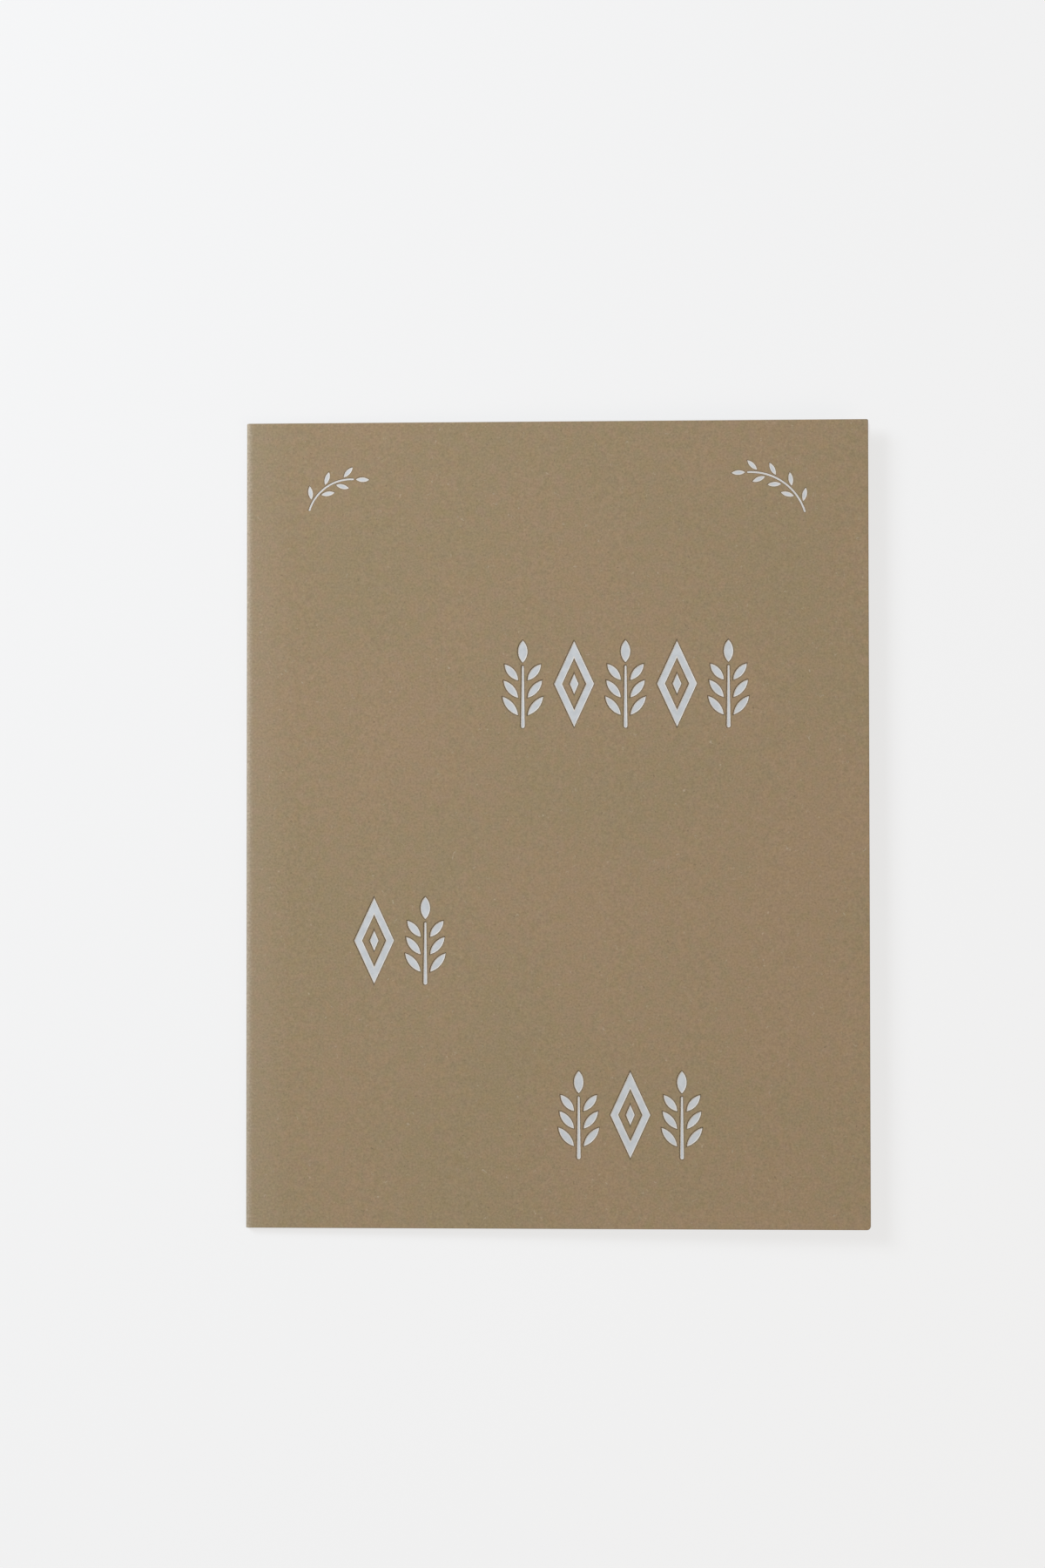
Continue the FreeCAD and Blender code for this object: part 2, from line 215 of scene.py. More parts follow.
class NodeTree:
    """The node tree of one new material, or of the sky."""

    def __init__(self, owner: bpy.types.Material | bpy.types.World) -> None:
        """Empty the owner's tree, to build it afresh.

        Args:
            owner: the material or world.
        """
        owner.use_nodes = True
        self.owner = owner
        self.tree = owner.node_tree
        self.tree.nodes.clear()

    def add(
        self, kind: str, settings: dict | None = None, inputs: dict | None = None
    ) -> bpy.types.Node:
        """Add a node.

        Args:
            kind: the node's type.
            settings: its own properties, set before its sockets.
            inputs: a value, signal or socket for each input, by name or number.

        Returns:
            The node.
        """
        node = self.tree.nodes.new(kind)
        for name, setting in (settings or {}).items():
            setattr(node, name, setting)
        for key, value in (inputs or {}).items():
            if isinstance(value, Signal):
                value = value.socket
            if isinstance(value, bpy.types.NodeSocket):
                self.tree.links.new(value, node.inputs[key])
            else:
                node.inputs[key].default_value = value
        return node

    def place(self) -> bpy.types.NodeSocket:
        """The place on the piece, in metres."""
        return self.add("ShaderNodeTexCoord").outputs["Object"]

    def rim(self) -> Signal:
        """The piece's own rim value: 1 on a pressed wall and 0 away from it."""
        return Signal(self, self.add("ShaderNodeAttribute", {"attribute_name": RIM}).outputs["Fac"])

    def from_middle(self) -> Signal:
        """How far a place is from the piece's origin, in metres."""
        length = self.add("ShaderNodeVectorMath", {"operation": "LENGTH"}, {0: self.place()})
        return Signal(self, length.outputs["Value"])

    def looked_at(self) -> Signal:
        """1 for what the camera or a glossy surface sees, and 0 for the light that falls on things."""
        rays = self.add("ShaderNodeLightPath").outputs
        return Signal(self, rays["Is Camera Ray"]).math("MAXIMUM", Signal(self, rays["Is Glossy Ray"]))

    def noise(
        self, place: bpy.types.NodeSocket, size: float, detail: float = 2, **more: float
    ) -> Signal:
        """Soft random variation round 0.5.

        Args:
            place: where on the piece.
            size: how far apart its blotches are, in metres.
            detail: how many finer octaves are added.
            more: other inputs of the Noise node, such as Roughness or Distortion.

        Returns:
            The noise's value.
        """
        inputs = {"Vector": place, "Scale": 1 / size, "Detail": detail, **more}
        return Signal(self, self.add("ShaderNodeTexNoise", None, inputs).outputs["Fac"])

    def mix(
        self,
        share: Signal | float,
        low: Colour | bpy.types.NodeSocket,
        high: Colour | bpy.types.NodeSocket,
        blend: str = "MIX",
    ) -> bpy.types.NodeSocket:
        """Blend two colours.

        Args:
            share: 0 for low and 1 for high.
            low, high: the colours, or sockets that give them.
            blend: the Mix node's blend type.

        Returns:
            The colour socket.
        """
        settings = {"data_type": "RGBA", "blend_type": blend}
        node = self.add("ShaderNodeMix", settings, {"Factor": share, 6: low, 7: high})
        return node.outputs[2]

    def scale(self, colour: bpy.types.NodeSocket, amount: Signal) -> bpy.types.NodeSocket:
        """Brighten or darken a colour by a factor.

        Args:
            colour: the colour.
            amount: the factor, 1 for no change.

        Returns:
            The colour socket.
        """
        inputs = {0: colour, "Scale": amount}
        return self.add("ShaderNodeVectorMath", {"operation": "SCALE"}, inputs).outputs[0]

    def bump(self, height: Signal, strength: float, distance: float) -> bpy.types.NodeSocket:
        """Turn a height into a surface normal.

        Args:
            height: the relief, from 0 to 1.
            strength: the Bump node's strength.
            distance: how high a height of 1 stands, in metres.

        Returns:
            The normal.
        """
        inputs = {"Height": height, "Strength": strength, "Distance": distance}
        return self.add("ShaderNodeBump", None, inputs).outputs["Normal"]

    def surface(self, inputs: dict) -> bpy.types.Material:
        """Finish the material with one Principled shader.

        Args:
            inputs: the shader's values and links, by name.

        Returns:
            The material.
        """
        shader = self.add("ShaderNodeBsdfPrincipled", None, inputs)
        self.add("ShaderNodeOutputMaterial", None, {"Surface": shader.outputs[0]})
        return self.owner


@dataclass(frozen=True)
class CardStock:
    """Uncoated card, dyed through, with a felt tooth, soft mottling, pale fibres and dark flecks."""

    warm: Colour = srgb(154, 131, 103)
    cool: Colour = srgb(147, 130, 100)
    yellow: Colour = (1.0, 1.0, 0.86, 1.0)
    blue: Colour = (1.0, 1.0, 1.1, 1.0)
    fibre: Colour = srgb(184, 170, 148)
    fleck: Colour = srgb(104, 90, 70)
    # The paler tone of the crease, partly a painted highlight, and of the band beside it
    wear_and_highlight_tone: Colour = srgb(178, 165, 146)
    roughness: float = 0.82
    # The grain that shades the colour, and the tooth that it roughens
    grain_size: float = 0.36 * MM
    grain_depth: float = 0.76
    tooth_size: float = 0.6 * MM
    tooth_height: float = 0.045 * MM
    grain_in_tooth: float = 0.35
    # The mottling between the warm and the cool tone, and the finer one between yellow and blue
    mottle_size: float = 1.5 * MM
    mottle_share: float = 0.66
    cloud_size: float = 30 * MM
    cloud_share: float = 0.48
    hue_span: tuple[float, float] = (0.41, 0.73)
    tint_size: float = 1.9 * MM
    # The stray fibres: how they wind, how thin they are and how few there are
    fibre_winding: float = 1.9 * MM
    fibre_spacing: float = 0.9 * MM
    fibre_span: tuple[float, float] = (0.012, 0.004)
    fibre_rarity: tuple[float, float] = (0.6, 0.68)
    fibre_share: float = 0.5
    fibre_relief: float = 0.2
    # The dark flecks
    fleck_size: float = 0.45 * MM
    fleck_spacing: float = 2.25 * MM
    fleck_span: tuple[float, float] = (0.7, 0.75)
    fleck_rarity: tuple[float, float] = (0.5, 0.6)
    fleck_share: float = 0.45
    # The paler crease, partly real paling of the folded fibres and partly a painted highlight, which
    # fades in crease widths, and the lighter band on the cover beside it
    crease_pale_span: tuple[float, float] = (1.9, 0.6)
    crease_pale_in_grain: float = 0.66
    even_crease_pale: float = 0.055
    beside_crease_reach: float = 9.0 * MM
    beside_crease_share: float = 0.13
    # How much the card is darkened on a pressed rim and wall: painted shade in the recess, with a
    # little darkening of the squeezed fibres
    press_shade: float = 0.58

    def build(self, name: str, crease_at: float, crease_width: float) -> bpy.types.Material:
        """Make the card's material.

        Args:
            name: the material's name.
            crease_at: where the crease's outer edge is across the card, in metres.
            crease_width: how far the paler crease reaches in from it, in metres.

        Returns:
            The material.
        """
        nodes = NodeTree(bpy.data.materials.new(name))
        place = nodes.place()
        grain = nodes.noise(place, self.grain_size, detail=3, Roughness=0.62)
        mottle = nodes.noise(place, self.mottle_size, detail=3)
        cloud = nodes.noise(place, self.cloud_size, detail=1)
        tint = nodes.noise(place, self.tint_size, detail=3, Distortion=0.4)
        hue = (mottle * self.mottle_share + cloud * self.cloud_share).ramp(*self.hue_span)
        colour = nodes.mix(hue, self.cool, self.warm)
        colour = nodes.mix(1.0, colour, nodes.mix(tint, self.yellow, self.blue), "MULTIPLY")
        fibres = self.stray_fibres(nodes, place)
        colour = nodes.mix(fibres * self.fibre_share, colour, self.fibre)
        flecks = self.dark_flecks(nodes, place)
        colour = nodes.mix(flecks * self.fleck_share, colour, self.fleck)
        # Paler crease, partly a painted highlight, and a lighter band on the cover beside it
        crease = self.crease_wear_and_highlight(nodes, place, grain, crease_at, crease_width)
        colour = nodes.mix(crease, colour, self.wear_and_highlight_tone)
        # The grain varies the tone, and press_shade paints shade on the pressed rims and walls
        grey = (grain - 0.5) * self.grain_depth + 1 - nodes.rim() * self.press_shade
        colour = nodes.scale(colour, grey)
        felt = nodes.noise(place, self.tooth_size, detail=3, Roughness=0.6)
        tooth = felt.blend(grain, self.grain_in_tooth) + fibres * self.fibre_relief
        normal = nodes.bump(tooth, strength=0.55, distance=self.tooth_height)
        return nodes.surface(
            {
                "Base Color": colour,
                "Roughness": self.roughness,
                "Specular IOR Level": 0.28,
                "Sheen Weight": 0.06,
                "Sheen Roughness": 0.5,
                "Normal": normal,
            }
        )

    def stray_fibres(self, nodes: NodeTree, place: bpy.types.NodeSocket) -> Signal:
        """Mark the sparse pale fibres and specks, each a short thin line.

        Args:
            nodes: the material's tree.
            place: where on the piece.

        Returns:
            1 on a fibre and 0 off it.
        """
        winding = nodes.noise(place, self.fibre_winding, detail=1, Distortion=1.4)
        line = abs(winding - 0.5).ramp(*self.fibre_span)
        return line * nodes.noise(place, self.fibre_spacing, detail=1).ramp(*self.fibre_rarity)

    def dark_flecks(self, nodes: NodeTree, place: bpy.types.NodeSocket) -> Signal:
        """Mark the few small dark specks of bark in the pulp.

        Args:
            nodes: the material's tree.
            place: where on the piece.

        Returns:
            1 on a speck and 0 off it.
        """
        dots = nodes.noise(place, self.fleck_size, detail=1).ramp(*self.fleck_span)
        return dots * nodes.noise(place, self.fleck_spacing, detail=0).ramp(*self.fleck_rarity)

    def crease_wear_and_highlight(
        self, nodes: NodeTree, place: bpy.types.NodeSocket, grain: Signal, edge: float, width: float
    ) -> Signal:
        """Pale the crease, partly the folded fibres' own paling and partly a painted highlight, and
        lighten the cover beside it.

        Args:
            nodes: the material's tree.
            place: where on the piece.
            grain: the paper's grain, which breaks the paler crease up.
            edge: where the crease's outer edge is across the card, in metres.
            width: how far the paler crease reaches in from it, in metres.

        Returns:
            The share of the paler tone, largest along the crease.
        """
        split = nodes.add("ShaderNodeSeparateXYZ", None, {0: place})
        inward = Signal(nodes, split.outputs["X"]) - edge
        on_crease = inward.ramp(*(share * width for share in self.crease_pale_span))
        crease_pale = on_crease * (grain * self.crease_pale_in_grain + self.even_crease_pale)
        # The cover is lighter within beside_crease_reach of the crease
        return crease_pale + inward.ramp(self.beside_crease_reach, 0) * self.beside_crease_share


@dataclass(frozen=True)
class CutEdge:
    """The card's cut edge: the same stock with the fine layers that a blade leaves."""

    light: Colour = srgb(163, 144, 119)
    dark: Colour = srgb(134, 115, 90)
    layer: float = 0.07 * MM
    run: float = 1.6 * MM
    fray_size: float = 0.16 * MM
    fray_in_tone: float = 0.3
    fray_in_relief: float = 0.4
    tone_span: tuple[float, float] = (0.3, 0.7)
    relief: float = 0.05 * MM

    def build(self, name: str) -> bpy.types.Material:
        """Make the cut edge's material, with streaks that run along the sheet.

        Args:
            name: the material's name.

        Returns:
            The material.
        """
        nodes = NodeTree(bpy.data.materials.new(name))
        stretch = nodes.add(
            "ShaderNodeMapping",
            {"vector_type": "POINT"},
            {"Vector": nodes.place(), "Scale": (1, 1, self.run / self.layer)},
        )
        layers = nodes.noise(stretch.outputs[0], self.run, detail=3, Roughness=0.7)
        fray = nodes.noise(nodes.place(), self.fray_size)
        tone = layers.blend(fray, self.fray_in_tone).ramp(*self.tone_span)
        colour = nodes.mix(tone, self.dark, self.light)
        height = layers.blend(fray, self.fray_in_relief)
        normal = nodes.bump(height, strength=0.6, distance=self.relief)
        return nodes.surface(
            {"Base Color": colour, "Roughness": 0.9, "Specular IOR Level": 0.2, "Normal": normal}
        )


@dataclass(frozen=True)
class WhiteFoil:
    """Satin white foil, which takes on a little of the card's tooth under it."""

    light: Colour = srgb(200, 204, 206)
    dull: Colour = srgb(190, 194, 196)
    # Painted highlight: a brighter, warmer tone laid on the foil's rim and wall, where a rounded rim
    # would catch the light
    rim_highlight: Colour = srgb(226, 216, 203)
    rim_highlight_share: float = 0.8
    patch_size: float = 1.3 * MM
    patch_span: tuple[float, float] = (0.3, 0.7)
    least_roughness: float = 0.34
    roughness_spread: float = 0.16
    tooth_size: float = 0.6 * MM
    tooth_height: float = 0.012 * MM

    def build(self, name: str) -> bpy.types.Material:
        """Make the foil's material.

        Args:
            name: the material's name.

        Returns:
            The material.
        """
        nodes = NodeTree(bpy.data.materials.new(name))
        place = nodes.place()
        patches = nodes.noise(place, self.patch_size, detail=3)
        tooth = nodes.noise(place, self.tooth_size)
        colour = nodes.mix(patches.ramp(*self.patch_span), self.dull, self.light)
        # Painted highlight on the foil's rim and wall, through the rim mask
        colour = nodes.mix(nodes.rim() * self.rim_highlight_share, colour, self.rim_highlight)
        return nodes.surface(
            {
                "Base Color": colour,
                "Roughness": patches * self.roughness_spread + self.least_roughness,
                "Specular IOR Level": 0.5,
                "Coat Weight": 0.1,
                "Coat Roughness": 0.3,
                "Normal": nodes.bump(tooth, strength=0.35, distance=self.tooth_height),
            }
        )


@dataclass(frozen=True)
class PaleFloor:
    """A pale matt floor, nearly even in tone. It keeps the card's shadow near the middle."""

    tone: Colour = srgb(243, 243, 243)
    shadow_share: float = 0.19
    even_from: float = 0.9
    shaded_to: float = 0.2

    def build(self, name: str) -> bpy.types.Material:
        """Make the floor's material.

        Args:
            name: the material's name.

        Returns:
            The material.
        """
        nodes = NodeTree(bpy.data.materials.new(name))
        lit = nodes.add("ShaderNodeBsdfDiffuse", None, {"Color": self.tone})
        even = nodes.add("ShaderNodeEmission", None, {"Color": self.tone})
        shaded = nodes.from_middle().ramp(self.even_from, self.shaded_to) * self.shadow_share
        share = nodes.looked_at() * (1 - shaded)
        both = nodes.add(
            "ShaderNodeMixShader", None, {0: share, 1: lit.outputs[0], 2: even.outputs[0]}
        )
        nodes.add("ShaderNodeOutputMaterial", None, {"Surface": both.outputs[0]})
        return nodes.owner


class Bench:
    """The few moves that all the modelling shares."""

    @staticmethod
    def take_up(*pieces: bpy.types.Object) -> None:
        """Select these objects and nothing else, with the first one active.

        Args:
            pieces: the objects.
        """
        bpy.ops.object.select_all(action="DESELECT")
        for piece in pieces:
            piece.select_set(True)
        bpy.context.view_layer.objects.active = pieces[0]

    @staticmethod
    def start(add: Callable[..., object], **size: object) -> bpy.types.Object:
        """Add a primitive with nothing else selected, and open it for editing.

        Args:
            add: the primitive's operator.
            size: its size and place.

        Returns:
            The new object, in edit mode.
        """
        bpy.ops.object.select_all(action="DESELECT")
        add(**size)
        bpy.ops.object.mode_set(mode="EDIT")
        return bpy.context.object

    @staticmethod
    def pick(piece: bpy.types.Object, kind: Element, wanted: MeshTest) -> None:
        """Select the faces or edges that pass a test, and nothing else.

        Args:
            piece: the object in edit mode.
            kind: what is picked.
            wanted: the test.
        """
        bpy.ops.mesh.select_mode(type=kind.value)
        bpy.ops.mesh.select_all(action="DESELECT")
        shape = bmesh.from_edit_mesh(piece.data)
        elements = shape.faces if kind is Element.FACE else shape.edges
        for element in [element for element in elements if wanted(element)]:
            element.select_set(True)
        bmesh.update_edit_mesh(piece.data)

    @staticmethod
    def face_outwards() -> None:
        """Turn every face of the object in edit mode outwards."""
        bpy.ops.mesh.select_all(action="SELECT")
        bpy.ops.mesh.normals_make_consistent(inside=False)

    @staticmethod
    def face_up(piece: bpy.types.Object) -> None:
        """Turn over each separate shell that has a face looking down.

        Args:
            piece: the object in edit mode.
        """
        Bench.pick(piece, Element.FACE, lambda face: face.normal.z < 0)
        bpy.ops.mesh.select_linked()
        bpy.ops.mesh.flip_normals()

    @staticmethod
    def join(pieces: Sequence[bpy.types.Object], name: str) -> bpy.types.Object:
        """Join objects into the first one and name it.

        Args:
            pieces: the objects.
            name: the joined object's name.

        Returns:
            The joined object.
        """
        Bench.take_up(*pieces)
        if len(pieces) > 1:
            bpy.ops.object.join()
        joined = bpy.context.object
        joined.name = name
        joined.data.name = name
        return joined

    @staticmethod
    def copy_to(piece: bpy.types.Object, place: Matrix) -> bpy.types.Object:
        """Copy an object with a mesh of its own and settle the copy at a place.

        Args:
            piece: the object to copy.
            place: where the copy goes.

        Returns:
            The copy.
        """
        copy = piece.copy()
        copy.data = piece.data.copy()
        bpy.context.collection.objects.link(copy)
        copy.data.transform(place)
        return copy

    @staticmethod
    def apply(piece: bpy.types.Object, kind: str, **settings: object) -> None:
        """Add a modifier and apply it.

        Args:
            piece: the object.
            kind: the modifier's type.
            settings: its properties.
        """
        Bench.take_up(piece)
        modifier = piece.modifiers.new(kind.lower(), kind)
        for name, setting in settings.items():
            setattr(modifier, name, setting)
        bpy.ops.object.modifier_apply(modifier=modifier.name)


@dataclass(frozen=True)
class PressWall:
    """The section of a pressed edge, from the untouched cover down to the floor."""

    depth: float
    lean: float = math.radians(40)
    shoulder_radius: float = 0.2 * MM
    foot_radius: float = 0.06 * MM
    collar: float = 0.012 * MM
    steps: int = 4

    def levels(self) -> list[Level]:
        """Work out the section: an even collar, a round shoulder, the wall and a round foot.

        Returns:
            The rings, outermost first.
        """
        slope = math.pi / 2 - self.lean
        reach = self.depth * math.tan(self.lean)
        outer = -self.shoulder_radius * math.tan(slope / 2)
        inner = reach + self.foot_radius * math.tan(slope / 2)
        levels = [Level(outer - self.collar, 0.0, 0.0)]
        for step in range(self.steps + 1):
            turn = slope * step / self.steps
            drop = self.shoulder_radius * (1 - math.cos(turn))
            levels.append(Level(outer + self.shoulder_radius * math.sin(turn), drop, step / self.steps))
        for step in range(self.steps, -1, -1):
            turn = slope * step / self.steps
            rise = self.foot_radius * (1 - math.cos(turn))
            levels.append(Level(inner - self.foot_radius * math.sin(turn), self.depth - rise))
        return levels


@dataclass(frozen=True)
class Leaf:
    """A pointed leaf between two equal arcs."""

    base: Vector
    heading: float
    length: float
    width: float
    segments: int = 12

    def outline(self, inset: float) -> Outline:
        """Draw the leaf's edge, moved in by a distance.

        Args:
            inset: how far in from the leaf's own edge, or out where negative.

        Returns:
            The points, anticlockwise from the base.
        """
        radius = (self.length**2 + self.width**2) / (4 * self.width)
        centre_offset = radius - self.width / 2
        half_turn = math.acos(min(centre_offset / (radius - inset), 1.0))
        along = Vector((math.cos(self.heading), math.sin(self.heading), 0))
        across = Vector((along.y, -along.x, 0))
        middle = self.base + along * (self.length / 2)
        points = []
        for side in (1, -1):
            for step in range(self.segments):
                turn = side * half_turn * (2 * step / self.segments - 1)
                out = (radius - inset) * math.cos(turn) - centre_offset
                points.append(
                    middle + along * ((radius - inset) * math.sin(turn)) + across * (side * out)
                )
        return points


@dataclass(frozen=True)
class StraightBar:
    """An upright bar with round ends, which may be wider at its foot."""

    foot_height: float
    tip_height: float
    foot_width: float
    tip_width: float
    segments: int = 8
    deepest_share: float = 0.48

    def outline(self, inset: float) -> Outline:
        """Draw the bar's edge, moved in by a distance.

        Args:
            inset: how far in from the bar's own edge, or out where negative.

        Returns:
            The points, anticlockwise from the tip's right side.
        """
        inset = min(inset, self.tip_width * self.deepest_share)
        length = self.tip_height - self.foot_height
        lean = math.asin((self.foot_width - self.tip_width) / 2 / length)
        tip = Vector((0, self.tip_height, 0))
        foot = Vector((0, self.foot_height, 0))
        tip_radius, foot_radius = self.tip_width / 2 - inset, self.foot_width / 2 - inset
        return [
            *arc(tip, tip_radius, lean, math.pi - lean, self.segments),
            *arc(foot, foot_radius, math.pi - lean, math.tau + lean, self.segments),
        ]


@dataclass(frozen=True)
class BentBar:
    """A bar of even width with round ends, bent along an arc."""

    centre: Vector
    radius: float
    foot_angle: float
    tip_angle: float
    width: float
    segments: int = 8
    bend_segments: int = 20
    deepest_share: float = 0.48

    def outline(self, inset: float) -> Outline:
        """Draw the bar's edge, moved in by a distance.

        Args:
            inset: how far in from the bar's own edge, or out where negative.

        Returns:
            The points, anticlockwise from the foot's outer side.
        """
        half = self.width / 2 - min(inset, self.width * self.deepest_share)
        first, last = self.foot_angle, self.tip_angle
        outer = arc(self.centre, self.radius + half, first, last, self.bend_segments)
        inner = arc(self.centre, self.radius - half, last, first, self.bend_segments)
        tip_cap = arc(self.place(last), half, last, last + math.pi, self.segments)
        foot_cap = arc(self.place(first), half, first + math.pi, first + math.tau, self.segments)
        return [*outer, *tip_cap[1:-1], *inner, *foot_cap[1:-1]]

    def place(self, angle: float, offset: float = 0.0) -> Vector:
        """A place on the bar's middle line, or beside it by an offset outwards."""
        reach = self.radius + offset
        return self.centre + Vector((math.cos(angle), math.sin(angle), 0)) * reach


@dataclass(frozen=True)
class Rhombus:
    """An upright rhombus round the origin."""

    width: float
    height: float

    def outline(self, inset: float) -> Outline:
        """Draw the rhombus, moved in by a distance.

        Args:
            inset: how far in from its own edge, or out where negative.

        Returns:
            The points, anticlockwise from the right one.
        """
        scale = 1 - inset / self.side_distance()
        across, up = Vector((self.width / 2 * scale, 0, 0)), Vector((0, self.height / 2 * scale, 0))
        return [across, up, -across, -up]

    def side_distance(self) -> float:
        """How far each side is from the middle."""
        return self.width * self.height / 2 / math.hypot(self.width, self.height)

    def inside(self, stroke: float) -> "Rhombus":
        """The rhombus that leaves an even stroke inside this one."""
        share = 1 - stroke / self.side_distance()
        return Rhombus(self.width * share, self.height * share)


def arc(centre: Vector, radius: float, start: float, end: float, segments: int) -> Outline:
    """Draw an arc.

    Args:
        centre: the arc's centre.
        radius: its radius.
        start, end: its first and last angles.
        segments: how many straight steps it takes.

    Returns:
        Its points, both ends included.
    """
    turns = [start + (end - start) * step / segments for step in range(segments + 1)]
    return [centre + Vector((math.cos(turn), math.sin(turn), 0)) * radius for turn in turns]


def mirrored(outline: Edge) -> Edge:
    """Mirror an outline in the upright axis, and keep it anticlockwise."""
    return lambda inset: [Vector((-spot.x, spot.y, spot.z)) for spot in reversed(outline(inset))]


def flipped(outline: Edge) -> Edge:
    """Move an outline out where its press moves in, for the island inside a band."""
    return lambda inset: outline(-inset)


@dataclass(frozen=True)
class Sprig:
    """A stem with pairs of rising leaves and an upright leaf at its tip."""

    height: float = 15.5 * MM
    foot_width: float = 0.9 * MM
    tip_width: float = 0.6 * MM
    lowest_leaf: float = 2.2 * MM
    leaf_length: float = 4.6 * MM
    shortening: float = 0.3 * MM
    rise: float = math.radians(50)
    leaf_gap: float = 0.4 * MM
    stem_gap: float = 0.25 * MM
    end_length: float = 4.2 * MM
    end_width: float = 1.9 * MM
    pairs: int = 3

    def outlines(self) -> list[Edge]:
        """The sprig's separate outlines, round its own middle.

        Returns:
            What draws each outline at an inset.
        """
        foot = -self.height / 2
        end_base = self.height / 2 - self.end_length
        spacing = (self.height - self.lowest_leaf - self.end_length) / self.pairs
        leaf_width = spacing * math.cos(self.rise) - self.leaf_gap
        tip = end_base - self.stem_gap - self.tip_width / 2
        stem = StraightBar(foot + self.foot_width / 2, tip, self.foot_width, self.tip_width)
        end = Leaf(Vector((0, end_base, 0)), math.pi / 2, self.end_length, self.end_width)
        found = [stem.outline, end.outline]
        for pair in range(self.pairs):
            height = foot + self.lowest_leaf + pair * spacing
            base = Vector((self.foot_width / 2 + self.stem_gap, height, 0))
            leaf = Leaf(base, self.rise, self.leaf_length - pair * self.shortening, leaf_width)
            found += [leaf.outline, mirrored(leaf.outline)]
        return found


@dataclass(frozen=True)
class Lozenge:
    """An outlined lozenge of even stroke with a small solid kernel inside."""

    width: float = 7.2 * MM
    height: float = 15.5 * MM
    stroke: float = 1.5 * MM
    kernel_width: float = 1.8 * MM
    kernel_height: float = 4.2 * MM

    def edges(self) -> tuple[Rhombus, Rhombus, Rhombus]:
        """The band's outer and inner edges, and the kernel's."""
        outer = Rhombus(self.width, self.height)
        return outer, outer.inside(self.stroke), Rhombus(self.kernel_width, self.kernel_height)


@dataclass(frozen=True)
class Spray:
    """A bent stem with small leaves on alternate sides and one at its tip."""

    radius: float
    leaves: int
    mirror: bool
    middle_angle: float = math.radians(55)
    sweep: float = math.radians(75)
    stem_width: float = 0.45 * MM
    leaf_length: float = 2.6 * MM
    leaf_width: float = 0.95 * MM
    lean: float = math.radians(38)
    gap: float = 0.14 * MM

    def outlines(self) -> list[Edge]:
        """The spray's separate outlines, round the middle of its stem.

        Returns:
            What draws each outline at an inset.
        """
        middle = Vector((math.cos(self.middle_angle), math.sin(self.middle_angle), 0))
        foot_angle = self.middle_angle - self.sweep / 2
        tip_angle = self.middle_angle + self.sweep / 2
        stem = BentBar(middle * -self.radius, self.radius, foot_angle, tip_angle, self.stem_width)
        clear = self.stem_width / 2 + self.gap
        found = [stem.outline]
        for leaf in range(self.leaves):
            side = 1 if leaf % 2 == 0 else -1
            angle = foot_angle + self.sweep * (leaf + 1) / (self.leaves + 1)
            base = stem.place(angle, side * clear)
            heading = angle + math.pi / 2 - side * self.lean
            found.append(Leaf(base, heading, self.leaf_length, self.leaf_width).outline)
        onward = Vector((-math.sin(tip_angle), math.cos(tip_angle), 0))
        base = stem.place(tip_angle) + onward * clear
        found.append(Leaf(base, tip_angle + math.pi / 2, self.leaf_length, self.leaf_width).outline)
        return [mirrored(outline) for outline in found] if self.mirror else found


